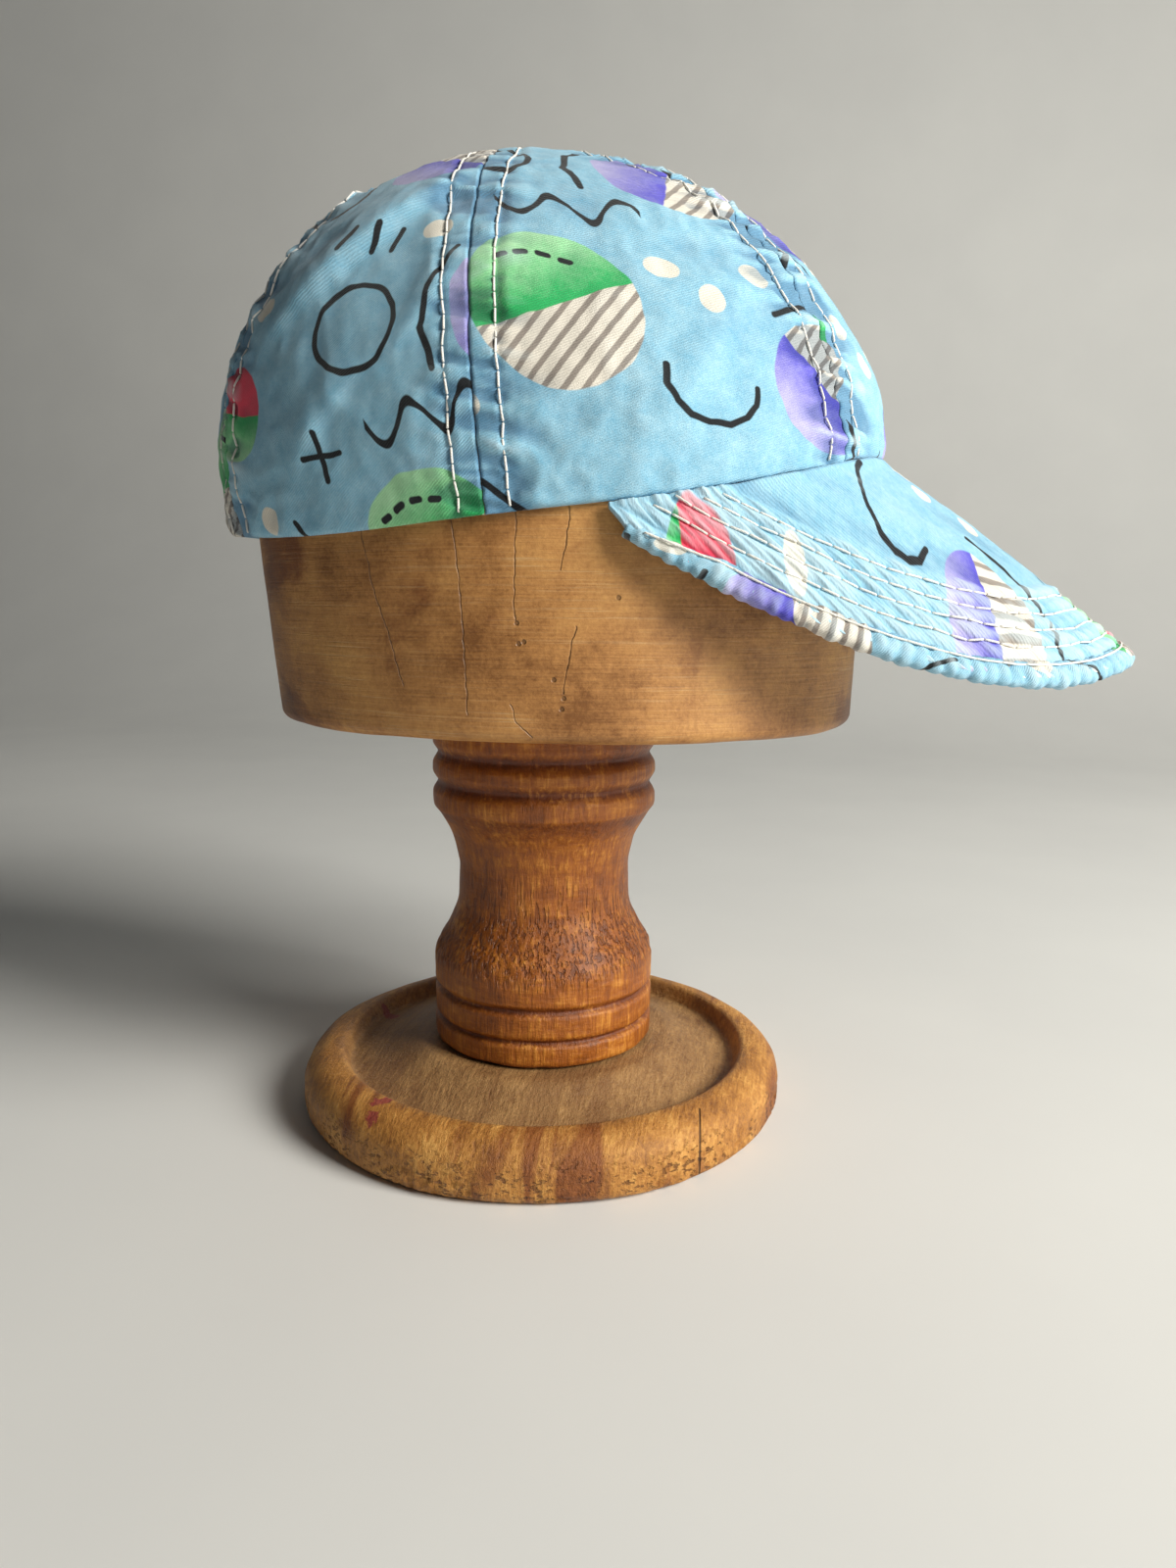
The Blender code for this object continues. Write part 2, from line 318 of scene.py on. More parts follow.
def foldPush(point):
    total = 0
    for fold, line in zip(folds, foldLines):
        if (point - line[4]).length > 0.075:  # too far from the fold's middle to feel it
            continue
        best = None
        for k, (start, end) in enumerate(zip(line, line[1:])):
            run = end - start
            share = min(max((point - start).dot(run) / run.dot(run), 0), 1)
            near = start + run * share
            away = (point - near).length / mm
            if best is None or away < best[0]:
                best = (away, point.z > near.z, (k + share) / (len(line) - 1))
        away, isAbove, place = best
        width = fold["above"] if isAbove else fold["below"]
        fade = sin(pi * min(max(place, 0.03), 0.97)) ** 0.6
        total += fold["height"] * fade * exp(-((away / width) ** 2))
    return total


def dentPush(point):
    total = 0
    for dent, place in zip(dents, dentPlaces):
        away = (point - place).length / mm / dent["radius"]
        if away < 3:
            total += dent["depth"] * exp(-(away**2))
    return total


def seamPush(away, along, seam, side):
    # relief in mm at a distance from a seam line, and its wear and painted shading: paler on raised cloth,
    # darker in the valleys and pinches
    row = seamForm["row"]
    seed = seam["seed"]
    pucker = seam["pucker"]
    inBand = 1 - smoothStep(row + 0.4, row + 3.6, away)
    band = seamForm["band"] * (1 - smoothStep(row - 0.6, row + 1.0, away))
    valley = -seamForm["valley"] * exp(-((away / seamForm["valleyWidth"]) ** 2))
    pinch = -seamForm["pinch"] * exp(-(((away - row) / seamForm["pinchWidth"]) ** 2))
    puff = seamForm["puff"] * exp(-(((away - row - 3.2) / seamForm["puffWidth"]) ** 2))
    reach = exp(-(((away - row * 0.8) / seamForm["gathers"]) ** 2))
    slant = along + away * side * 0.28
    wide = noise.noise(Vector((slant / 6.8, away * side / 24, seed)))
    fine = noise.noise(Vector((slant / 3.4, away * side / 12, seed + 9.1)))
    crease = 0.30 - abs(noise.noise(Vector((slant / 5.4, away * side / 30, seed + 4.7)))) * 2.4
    pleat = 0.26 - abs(noise.noise(Vector((slant / 4.0, away * side / 17, seed + 2.2)))) * 2.2
    ripple = pucker * ((1.25 * wide + 0.55 * fine + 0.5 * crease) * reach + 0.75 * pleat * inBand)
    # raised ripples paler as wear and painted highlight; valleys, pinches and the stitched band darker as
    # painted shade
    wearAndShading = 1.15 * ripple - 0.12 * inBand + 0.8 * valley + 0.9 * pinch
    return band + valley + pinch + puff + ripple, wearAndShading


def crumple(point):
    # soft cotton's small creases: ridges of three sizes, in mm
    wide = 0.30 - abs(noise.noise(point * 62 + Vector((4, 9, 2)))) * 1.5
    small = 0.30 - abs(noise.noise(point * 135 + Vector((1, 5, 8)))) * 1.5
    where = smoothStep(-0.3, 0.3, noise.noise(point * 24 + Vector((7, 2, 5))))
    tiny = 0.25 - abs(noise.noise(point * 260 + Vector((3, 1, 6)))) * 1.3
    return 1.05 * wide * (0.4 + 0.6 * where) + 0.6 * small * (0.3 + 0.7 * where) + 0.2 * tiny


def seamTurn(seam, up):
    return radians(seam["rim"] + (seam["top"] - seam["rim"]) * up + seam["bow"] * sin(pi * up))


def panelShare(across):
    # columns crowd towards the seams
    return across * 0.35 + (0.5 - 0.5 * cos(pi * across)) * 0.65


def panelTurn(panel, share, up):
    start = seamTurn(panel["from"], up)
    end = seamTurn(panel["to"], up)
    return start + (end - start) * share


def turnPace(turn, up):
    # how far the crown's surface runs for each radian of turn
    return (smoothCrown(turn + nudge, up) - smoothCrown(turn - nudge, up)).length / (2 * nudge)


def crownSurface(panel, share, up):
    # outer face of one panel with all its relief: point, normal, and wear with painted shading
    turn = panelTurn(panel, share, up)
    point = smoothCrown(turn, up)
    pace = turnPace(turn, up)
    fromAway = (turn - seamTurn(panel["from"], up)) * pace / mm
    toAway = (seamTurn(panel["to"], up) - turn) * pace / mm
    along = up * (rimDepth(turn) + domeArc) / mm
    ring = hypot(point.x - crown["centreX"] + crown["apexShift"], point.y) / mm
    calm = smoothStep(3, 20, ring)
    fromPush, fromWearAndShading = seamPush(fromAway, along, panel["from"], 1)
    toPush, toWearAndShading = seamPush(toAway, along, panel["to"], -1)
    soft = 0.8 * noise.noise(point * 38) + 0.08 * noise.noise(point * 260) + crumple(point)
    roll = -0.85 * (1 - min(1, along / 1.3)) ** 2
    hem = 0.22 * exp(-(((along - 5) / 4) ** 2)) * (1 + 2 * noise.noise(Vector((turn * 9, along / 9, 2))))
    push = (fromPush + toPush + foldPush(point) + soft) * calm - dentPush(point) + roll + hem
    push = max(push, crown["deepest"])
    wearAndShading = (fromWearAndShading + toWearAndShading) * calm + 0.3 * soft
    normal = crownNormal(point)
    return point + normal * push * mm, normal, wearAndShading


def clothTurn(x, y, cut):
    # a place on the printed cloth, in decimetres, for a piece cut at its own angle
    angle = radians(cut["grain"])
    return (
        x * cos(angle) - y * sin(angle) + cut["shift"][0],
        x * sin(angle) + y * cos(angle) + cut["shift"][1],
    )


def panelPlane(panel, share, up):
    turn = panelTurn(panel, share, up)
    middle = panelTurn(panel, 0.5, up)
    across = (turn - middle) * turnPace(middle, up)
    along = up * (rimDepth(turn) + domeArc) - rimDepth(turn)
    return clothTurn(across * 10, along * 10, panel)


# how each panel was cut from the printed cloth: turn of the grain in degrees, shift in decimetres
cuts = {
    "panel_front_right": {"grain": 8, "shift": (0.62, 0.10)},
    "panel_back_right": {"grain": -12, "shift": (0.10, 0.74)},
    "panel_back": {"grain": 20, "shift": (1.35, 0.30)},
    "panel_back_left": {"grain": 4, "shift": (0.85, 1.10)},
    "panel_front_left": {"grain": -16, "shift": (1.90, 0.55)},
    "panel_front": {"grain": 14, "shift": (0.35, 1.60)},
}

panels = {}
for index, name in enumerate(panelNames):
    panels[name] = {"to": seams[index], "from": seams[index + 1], **cuts[name]}


def upShare(share):
    # rows crowd towards the rim and the top
    return crown["top"] * (share - 0.14 * sin(2 * pi * share) / 2)


def makePanel(name, panel):
    room = crown["seamRoom"] / crown["panelWidth"]

    def place(across, up):
        share = room + panelShare(across) * (1 - 2 * room)
        point, normal, wearAndShading = crownSurface(panel, share, upShare(up))
        return point, wearAndShading

    def plane(across, up):
        return panelPlane(panel, panelShare(across), upShare(up))

    return makeSheet(name + "_cloth", crown["columns"], crown["rows"], place, plane, crown["cloth"])


# Bill: two layers of cloth stitched together in rows that follow the outer edge

bill = {
    "halfTurn": radians(70),
    "reach": 0.0725,
    "fall": 0.0540,
    "dip": 0.0070,
    "belly": 0.0012,
    "thickness": 0.0024,
    "tuck": 0.0009,
    "room": 0.0003,
    "share": 0.965,
    "columns": 400,
    "rows": 90,
    "rowPlaces": (9.0, 14.4, 19.8, 25.2),  # stitch rows, mm inward from the bill's edge
    "stitch": 5.2,
    "puff": 0.70,  # mm that the cloth stands up between two rows
    "grain": 28,
    "shift": (0.90, -0.02),
}
bill["drop"] = bill["room"] + bill["thickness"] / 2 * cos(atan2(bill["fall"], bill["reach"]))


def billInner(share):
    turn = share * bill["halfTurn"]
    return smoothCrown(turn, 0) - Vector((bill["tuck"] * cos(turn), bill["tuck"] * sin(turn), bill["drop"]))


billCorner = billInner(1)
billFront = billInner(0)


def billOuter(share):
    # the bill's outer edge, share from -1 at the wearer's right to 1 at the left
    beta = share * pi / 2
    tipX = billFront.x + bill["reach"]
    tipZ = billFront.z - bill["fall"]
    x = billCorner.x + (tipX - billCorner.x) * cos(beta)
    y = billCorner.y * sin(beta)
    z = tipZ + (billCorner.z - tipZ) * share**4 - bill["dip"] * sin(pi * share) ** 2
    return Vector((x, y, z))


def billPoint(share, out):
    # the bill's middle sheet, out from 0 at the crown to 1 at the edge
    inner = billInner(share)
    outer = billOuter(share)
    width = (outer - inner).length
    belly = bill["belly"] * sin(pi * out) * min(1, width / bill["reach"])
    return inner.lerp(outer, out) + Vector((0, 0, belly))


# length along the bill's edge, mm, at even steps of share from -1 to 1
billLengths = runLengths([billPoint(k / 200 - 1, 1) for k in range(401)])


def edgeLength(share):
    place = (share + 1) / 2 * (len(billLengths) - 1)
    low = min(max(int(place), 0), len(billLengths) - 2)
    return billLengths[low] + (billLengths[low + 1] - billLengths[low]) * (place - low)


def squareWidth(share):
    # width of the bill in mm, taken square to its edge, which its cross lines are not
    along = (billPoint(share + nudge, 1) - billPoint(share - nudge, 1)).normalized()
    return (billPoint(share, 0) - billPoint(share, 1)).cross(along).length / mm


def billFrame(share, out):
    # middle point of the bill, its upward normal, and the distance from the edge in mm
    point = billPoint(share, out)
    along = billPoint(share + nudge, out) - billPoint(share - nudge, out)
    outward = billPoint(share, min(out + nudge, 1)) - billPoint(share, max(out - nudge, 0))
    normal = outward.cross(along).normalized()
    return point, normal, (1 - out) * squareWidth(share)


def quilting(share, edge):
    # relief of the stitched rows, mm: puffed channels, pinched rows and the gathers across them
    rows = bill["rowPlaces"]
    length = edgeLength(share)
    pitch = rows[1] - rows[0]
    channel = (edge - rows[0]) / pitch
    inside = 1 - smoothStep(rows[-1] + 1, rows[-1] + 7, edge)
    bow = abs(sin(pi * channel)) ** 0.7
    number = int(channel + 50)
    sway = length + 1.6 * noise.noise(Vector((length / 14, number * 3.7, 5)))
    beat = 2 * abs(sin(pi * (sway + number * 1.9) / bill["stitch"])) ** 0.8 - 1.2
    gather = 2.2 * abs(noise.noise(Vector(((length + edge * 0.5) / 5.5, edge / 9, 3.3)))) - 0.4
    swell = noise.noise(Vector((length / 8.5, edge / 30, 8.1)))
    ripple = 0.40 * beat * bow + 1.1 * gather * (0.3 + 0.7 * bow) + swell
    calm = inside + 0.22 * (1 - inside)
    plain = noise.noise(Vector((length / 17, edge / 14, 1.2)))
    return bill["puff"] * bow * inside, ripple * calm * 0.72 + plain * 0.5


def tuckLift(out):
    # the bill's inner edge rises to the crown's rim, where it's sewn in
    return 0.0007 * (1 - smoothStep(0, 0.05, out))


def billFace(share, out):
    # what both faces of the bill share: middle, normal, half thickness, puff and ripple
    point, normal, edge = billFrame(share, out)
    point.z += tuckLift(out)
    return point, normal, 0.75 + 0.35 * smoothStep(3, 10, edge), *quilting(share, edge)


def billTop(share, out):
    point, normal, half, puff, ripple = billFace(share, out)
    # the third value is the wear and painted shading: paler on the puffed channels, darker as painted shade
    # along the stitched rows
    return point + normal * (half + puff + ripple * 0.9) * mm, normal, ripple + puff - 0.1


def billBottom(share, out):
    point, normal, half, puff, ripple = billFace(share, out)
    return point + normal * (ripple * 0.7 - half - puff * 0.6) * mm


def makeBill():
    def spot(across, up):
        return (across * 2 - 1) * bill["share"], 1 - up

    def place(across, up):
        point, normal, wearAndShading = billTop(*spot(across, up))
        return point, wearAndShading

    def plane(across, up):
        point = billPoint(*spot(across, up))
        slope = hypot(bill["reach"], bill["fall"]) / bill["reach"]
        return clothTurn(point.x * slope * 10, point.y * 10, bill)

    def underside(across, up):
        return billBottom(*spot(across, up))

    columns, rows = bill["columns"], bill["rows"]
    return makeSheet("bill_cloth", columns, rows, place, plane, bill["thickness"], underside)


# Binding: a folded tape of the same cloth round the bill's edge, gathered by its stitches

binding = {
    "width": 5.0,  # mm from the bill's edge to the tape's inner edge
    "half": 1.75,  # mm from the bill's middle to the tape's face
    "cloth": 0.0009,
    "tape": 0.022,  # width of the tape laid flat
    "columns": 640,
    "rows": 30,
    "row": 3.7,  # stitch row, mm inward from the edge
    "stitch": 4.0,
    "grain": -38,
    "shift": (1.7, 1.2),
}


def bindingFrame(share):
    # the tape's fold line, with the ways along it, in over the bill and up
    edge = billPoint(share, 1)
    along = (billPoint(share + nudge, 1) - billPoint(share - nudge, 1)).normalized()
    inward = billPoint(share, 0.9) - edge
    inward = (inward - along * inward.dot(along)).normalized()
    normal = inward.cross(along) * -1
    if normal.z < 0:
        normal = -normal
    return edge, along, inward, normal


def bindingWidth(share):
    return min(binding["width"], squareWidth(share) * 0.47)


def bindingPoint(share, wrap):
    # wrap runs from the lower leg's tip at 0, by the outer edge, to the upper leg's tip at 1
    edge, along, inward, normal = bindingFrame(share)
    leg = bindingWidth(share)
    half = binding["half"]
    bow = pi * half / 2
    total = 2 * (leg + bow)
    place = wrap * total
    length = edgeLength(share)
    if place < leg:
        a, b, outward = leg - place, -half, -normal
    elif place > total - leg:
        a, b, outward = place - (total - leg), half, normal
    else:
        angle = -pi / 2 + (place - leg) / (total - 2 * leg) * pi
        a, b = -half * cos(angle), half * sin(angle)
        outward = (-inward * cos(angle) + normal * sin(angle)).normalized()
    lump = abs(sin(pi * (length + 1.2 * noise.noise(Vector((length / 9, 0, 4)))) / binding["stitch"]))
    beat = 2 * lump**0.7 - 1.3
    lean = 2.2 * abs(noise.noise(Vector(((length + a * 0.7) / 4.2, wrap * 1.6, 6.4)))) - 0.4
    swell = noise.noise(Vector((length / 8.0, wrap * 1.2, 2.2)))
    pinch = exp(-(((a - binding["row"]) / 0.7) ** 2)) if a > 0 else 0
    tip = smoothStep(leg - 1.0, leg, a)
    puff = 0.30 * exp(-(((a - 1.6) / 1.8) ** 2))
    push = puff + 0.26 * beat * (1 - 0.4 * pinch) + 0.42 * lean + 0.35 * swell
    push -= 0.45 * pinch + 0.62 * tip
    point = edge + inward * a * mm + normal * b * mm + outward * push * mm
    return point, outward, push


def makeBinding():
    def place(across, up):
        point, outward, push = bindingPoint((across * 2 - 1) * bill["share"], up)
        # the push serves as the wear and painted shading: paler where the tape puffs, darker as painted
        # shade in its pinches
        return point, push

    def plane(across, up):
        length = edgeLength((across * 2 - 1) * bill["share"]) * mm
        return clothTurn(length * 10, up * binding["tape"] * 10, binding)

    columns, rows = binding["columns"], binding["rows"]
    return makeSheet("bill_binding_cloth", columns, rows, place, plane, binding["cloth"])


# Thread: chunky white topstitching, each stitch a small bent bead of thread

thread = {
    "width": 0.68,  # mm across
    "crownStitch": 4.15,
    "crownPitch": 4.2,
    "billStitch": 5.15,
}


def stitchBead():
    # one stitch of unit length and width along X, blunt like a bead, its ends dipping into the cloth
    deselectAll()
    bpy.ops.mesh.primitive_uv_sphere_add(segments=6, ring_count=6, radius=0.5, rotation=(0, pi / 2, 0))
    bead = bpy.context.object
    bpy.ops.object.transform_apply(location=True, rotation=True, scale=True)
    for vertex in bead.data.vertices:
        x, y, z = vertex.co
        girth = sqrt(max(1 - 4 * x * x, 0.0625))
        fat = min(1, (1 - abs(2 * x)) / 0.2 + 0.6) / girth * 0.96
        vertex.co = (x, y * fat, z * fat - 0.3 * (2 * x) ** 8)
    return bead


bead = stitchBead()


def makeStitches(name, places):
    # places hold start, end and outward normal of each stitch
    joined = bmesh.new()
    for start, end, normal in places:
        along = end - start
        middle = (start + end) / 2 + normal * thread["width"] / 2 * mm
        side = normal.cross(along).normalized() * thread["width"] * mm
        up = along.cross(side).normalized() * thread["width"] * mm
        stitch = bead.data.copy()
        stitch.transform(Matrix((along, side, up)).transposed().to_4x4())
        stitch.transform(Matrix.Translation(middle))
        joined.from_mesh(stitch)
        bpy.data.meshes.remove(stitch)
    mesh = bpy.data.meshes.new(name)
    joined.to_mesh(mesh)
    joined.free()
    piece = bpy.data.objects.new(name, mesh)
    bpy.context.collection.objects.link(piece)
    mesh.shade_smooth()
    return piece


def rowPlaces(surface, stops, stitch, pitch):
    # stitches laid by length along a finely stepped row on a surface
    line = [surface(stop) for stop in stops]
    lengths = runLengths([point for point, normal in line])
    places = []
    at = 0.6  # mm from the row's start to its first stitch

    def spot(length):
        k = 0
        while k < len(lengths) - 2 and lengths[k + 1] < length:
            k += 1
        share = (length - lengths[k]) / max(lengths[k + 1] - lengths[k], 0.0001)
        return line[k][0].lerp(line[k + 1][0], share), line[k][1]

    while at + stitch < lengths[-1]:
        start, normal = spot(at)
        places.append((start, spot(at + stitch)[0], normal))
        at += pitch
    return places


def crownRow(panel, side):
    # the row beside one seam of a panel, from the rim until it meets the next seam's row
    stops = []
    row = seamForm["row"] * mm
    for k in range(261):
        up = 0.004 + 0.985 * k / 260
        start, end = seamTurn(panel["from"], up), seamTurn(panel["to"], up)
        if (end - start) * turnPace((start + end) / 2, up) < row * 2.1:
            break
        edge = start if side > 0 else end
        wobble = 0.0007 * noise.noise(Vector((k / 14, side, panel["grain"])))
        turn = edge + side * (row + wobble) / turnPace(edge, up)
        stops.append(((turn - start) / (end - start), up))

    def surface(stop):
        point, normal, wearAndShading = crownSurface(panel, *stop)
        return point, normal

    return rowPlaces(surface, stops, thread["crownStitch"], thread["crownPitch"])


def billRow(distance):
    # a row on the bill's top at a distance from its edge, while the bill is wide enough
    stops = []
    for k in range(901):
        share = (k / 450 - 1) * bill["share"]
        width = squareWidth(share)
        wobble = 0.9 * noise.noise(Vector((k / 22, distance, 0)))
        if width > distance + 0.5:
            stops.append((share, 1 - (distance + wobble) / width))

    def surface(stop):
        point, normal, wearAndShading = billTop(*stop)
        return point, normal

    return rowPlaces(surface, stops, thread["billStitch"], bill["stitch"])


def bindingRow():
    half = binding["half"]

    def surface(share):
        leg = bindingWidth(share)
        total = 2 * (leg + pi * half / 2)
        wrap = 1 - (leg - min(binding["row"], leg - 1)) / total
        point, outward, push = bindingPoint(share, wrap)
        return point, outward

    stops = [(k / 450 - 1) * bill["share"] * 0.985 for k in range(901)]
    return rowPlaces(surface, stops, thread["billStitch"], binding["stitch"])


# Hat block, post and base of turned and shaped wood

block = {
    "halfLength": 0.09575,
    "halfWidth": 0.0790,
    "centreX": 0.0031,
    "wall": 0.0792,
    "rise": 0.0844,
    "footHalfLength": 0.0909,
    "footHalfWidth": 0.0760,
    "footX": 0.0064,
    "edgeRound": 0.0035,
    "columns": 160,
}
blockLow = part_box("stand_block")[0][2]


def blockRings():
    # from the middle of the foot, round its edge, up the leaning wall and over the crown
    soft = block["edgeRound"]
    edge = []
    for k in range(9):
        angle = -pi / 2 + pi / 2 * k / 8
        halfLength = block["footHalfLength"] - soft + soft * cos(angle)
        halfWidth = block["footHalfWidth"] - soft + soft * cos(angle)
        edge.append((block["footX"], halfLength, halfWidth, blockLow + soft + soft * sin(angle)))
    foot = (block["footX"], 0, 0, blockLow)
    rings = [between(foot, edge[0], k / 6) for k in range(6)] + edge
    shoulder = (block["centreX"], block["halfLength"], block["halfWidth"], blockLow + block["wall"])
    rings += [between(edge[-1], shoulder, k / 24) for k in range(1, 25)]
    top = (crown["centreX"] - crown["apexShift"], 0, 0)
    for k in range(1, 25):
        angle = k / 24 * pi / 2
        rings.append(between(top, shoulder[:3], cos(angle)) + (wideZ + block["rise"] * sin(angle),))
    return rings


def blockRelief(place):
    # hand-shaped wood is never quite even
    return 0.45 * noise.noise(place / 34) + 0.12 * noise.noise(place / 9)


post = {
    "radius": 36.5,  # mm
    "length": 106.9,  # mm
    "columns": 200,
    # outline from the foot up, each place a share of the length and a share of the radius
    "lowBeads": [
        (0, 0),
        (0, 0.97),
        (0.012, 1),
        (0.065, 1),
        (0.078, 0.952),
        (0.091, 1),
        (0.155, 1),
        (0.170, 0.952),
    ],
    "waist": [
        (0.187, 1.000),
        (0.255, 1.000),
        (0.293, 0.972),
        (0.325, 0.925),
        (0.358, 0.868),
        (0.427, 0.789),
        (0.523, 0.772),
        (0.568, 0.779),
        (0.643, 0.833),
        (0.702, 0.930),
        (0.732, 0.992),
    ],
    "highBeads": [
        (0.745, 1),
        (0.778, 1),
        (0.806, 0.948),
        (0.834, 1),
        (0.866, 1),
        (0.896, 0.948),
        (0.924, 1),
        (1, 1),
        (1, 0),
    ],
    "torn": (25, 33, 52, 58),  # heights above the foot between which the grain is torn, mm
}
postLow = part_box("stand_post")[0][2]


def postRings():
    def spot(share, out):
        return (out * post["radius"], share * post["length"], 0)

    waist = [tuple(place) for place in curveThrough([spot(*row) for row in post["waist"]], 6)]
    line = [spot(*row) for row in post["lowBeads"]] + waist + [spot(*row) for row in post["highBeads"]]
    line = fillLine(roundCorners(line, 0.9), 1.3)
    return [(0, radius * mm, radius * mm, postLow + up * mm) for radius, up, _ in line]


def postRelief(place):
    # torn grain under the waist, wear along the beads
    up = place.z - postLow / mm
    turn = atan2(place.y, place.x) * post["radius"]
    low, high, fade, end = post["torn"]
    torn = smoothStep(low, low + 4, up) * (1 - smoothStep(high, fade, up))
    ridge = noise.noise(Vector((turn / 1.5 + up / 6, up / 5, 0)))
    ridge += 0.6 * noise.noise(Vector((turn / 0.9, up / 3, 7)))
    patch = smoothStep(-0.25, 0.25, noise.noise(Vector((turn / 26, up / 18, 3))))
    return 0.55 * ridge * torn * (0.3 + 0.7 * patch) + 0.22 * noise.noise(place / 6) - 0.1


base = {
    "radius": 0.080,
    "height": 0.0190,
    "footRound": 0.0045,
    "crestWidth": 0.0120,
    "dishRadius": 0.0665,
    "dishDepth": 0.0050,
    "seatRadius": 0.0400,
    "seatRise": 0.0020,
    # the dish's rounded lip: out from the dish's radius, and down as a share of its depth
    "lip": [(0.0004, 0.12), (-0.0006, 0.44), (-0.0014, 0.76), (-0.0034, 1)],
    "columns": 420,
}


def baseRings():
    # the flat underside, the rounded foot and the rim's swell, then the dish's lip, its floor and
    # the seat under the post
    outline = [(0, 0), (0.02, 0), (0.04, 0), (0.06, 0)]
    foot = base["footRound"]
    for k in range(9):
        angle = -pi / 2 + pi / 2 * k / 8
        outline.append((base["radius"] - foot + foot * cos(angle), foot + foot * sin(angle)))
    side = base["height"] * 0.45
    crest = base["radius"] - base["crestWidth"]
    for k in range(17):
        angle = 0.12 + (pi / 2 - 0.12) * k / 16
        out = crest + base["crestWidth"] * cos(angle)
        outline.append((out, side + (base["height"] - side) * sin(angle)))
    floor = base["height"] - base["dishDepth"]
    seat = base["height"] + base["seatRise"]
    middle = (base["dishRadius"] + base["seatRadius"]) / 2
    dish = [(crest, base["height"], 0)]
    for out, down in base["lip"]:
        dish.append((base["dishRadius"] + out, base["height"] - down * base["dishDepth"], 0))
    dish += [
        (middle, floor + (seat - floor) * 0.40, 0),
        (base["seatRadius"] + 0.004, seat - 0.0003, 0),
        (base["seatRadius"], seat, 0),
    ]
    outline += [tuple(place)[:2] for place in curveThrough(dish, 4)][1:]
    outline += [(0.02, seat), (0, seat)]
    line = fillLine([(radius / mm, height / mm, 0) for radius, height in outline], 1.6)
    return [(0, radius * mm, radius * mm, height * mm) for radius, height, _ in line]


def baseRelief(place):
    # grain torn out of the low front of the rim, a rim never quite true, a soft edge at the foot
    out = hypot(place.x, place.y)
    rim = smoothStep(70, 76, out) * smoothStep(0.6, 2, place.z)
    turn = atan2(place.y, place.x) * base["radius"] / mm
    pits = noise.noise(Vector((turn / 3.2, place.z / 1.6, 2)))
    pits += 0.6 * noise.noise(Vector((turn / 1.7, place.z / 1.3, 5)))
    patch = smoothStep(-0.15, 0.3, noise.noise(Vector((turn / 22, 0.3, 9))))
    torn = min(pits, 0.1) * 1.5 * rim * patch * (1 - smoothStep(8, 13, place.z))
    uneven = 0.7 * noise.noise(place / 42) + 0.25 * noise.noise(place / 11)
    return torn + uneven * (0.35 + 0.65 * rim) * smoothStep(0.1, 1, place.z) - 0.15


# Finishes


def tone(code):
    # sRGB hex to linear colour
    parts = [int(code[k:k + 2], 16) / 255 for k in (1, 3, 5)]
    return [part / 12.92 if part <= 0.04045 else ((part + 0.055) / 1.055) ** 2.4 for part in parts] + [1]


def firstLive(sockets, name=None):
    # a node hides the sockets that its settings don't use, and some of those share a name
    return next(socket for socket in sockets if socket.enabled and name in (None, socket.name))


def addNode(tree, kind, links=None, ramp=(), **settings):
    # one node with its settings, the places and tones of its ramp, and its links: each link is a
    # socket, a node that gives its first live output, a tone in hex or a plain value
    node = tree.nodes.new("ShaderNode" + kind)
    for name, value in settings.items():
        setattr(node, name, value)
    for k, (place, code) in enumerate(ramp):
        stops = node.color_ramp.elements
        stop = stops[k] if k < len(stops) else stops.new(place)
        stop.position = place
        stop.color = tone(code)
    for name, value in (links or {}).items():
        socket = node.inputs[name] if isinstance(name, int) else firstLive(node.inputs, name)
        if isinstance(value, bpy.types.Node):
            value = firstLive(value.outputs)
        if isinstance(value, bpy.types.NodeSocket):
            tree.links.new(value, socket)
        else:
            socket.default_value = tone(value) if isinstance(value, str) else value
    return node


def newMaterial(name):
    # an empty material, with the function that adds nodes to it
    material = bpy.data.materials.new(name)
    material.use_nodes = True
    material.node_tree.nodes.clear()
    return material, partial(addNode, material.node_tree)


# settings of a colour mix: one tone laid over another, and one that darkens what it covers by multiplying,
# used for stains and for painted shade
cover = {"data_type": "RGBA"}
multiplyMix = {"data_type": "RGBA", "blend_type": "MULTIPLY"}


def strokeDistance(add, spot, lines):
    # distance from the spot to the nearest of many bent lines
    nearest = None
    for start, end in [run for line in lines for run in zip(line, line[1:])]:
        start, end = Vector(start + (0,)), Vector(end + (0,))
        run = end - start
        away = add("VectorMath", {0: spot, 1: start}, operation="SUBTRACT")
        share = add("VectorMath", {0: away, 1: run / max(run.dot(run), 0.01)}, operation="DOT_PRODUCT")
        held = add("Clamp", {"Value": share})
        reach = add("VectorMath", {0: run, "Scale": held}, operation="SCALE")
        size = add("VectorMath", {0: away, 1: reach}, operation="DISTANCE")
        nearest = size if nearest is None else add("Math", {0: nearest, 1: size}, operation="MINIMUM")
    return nearest


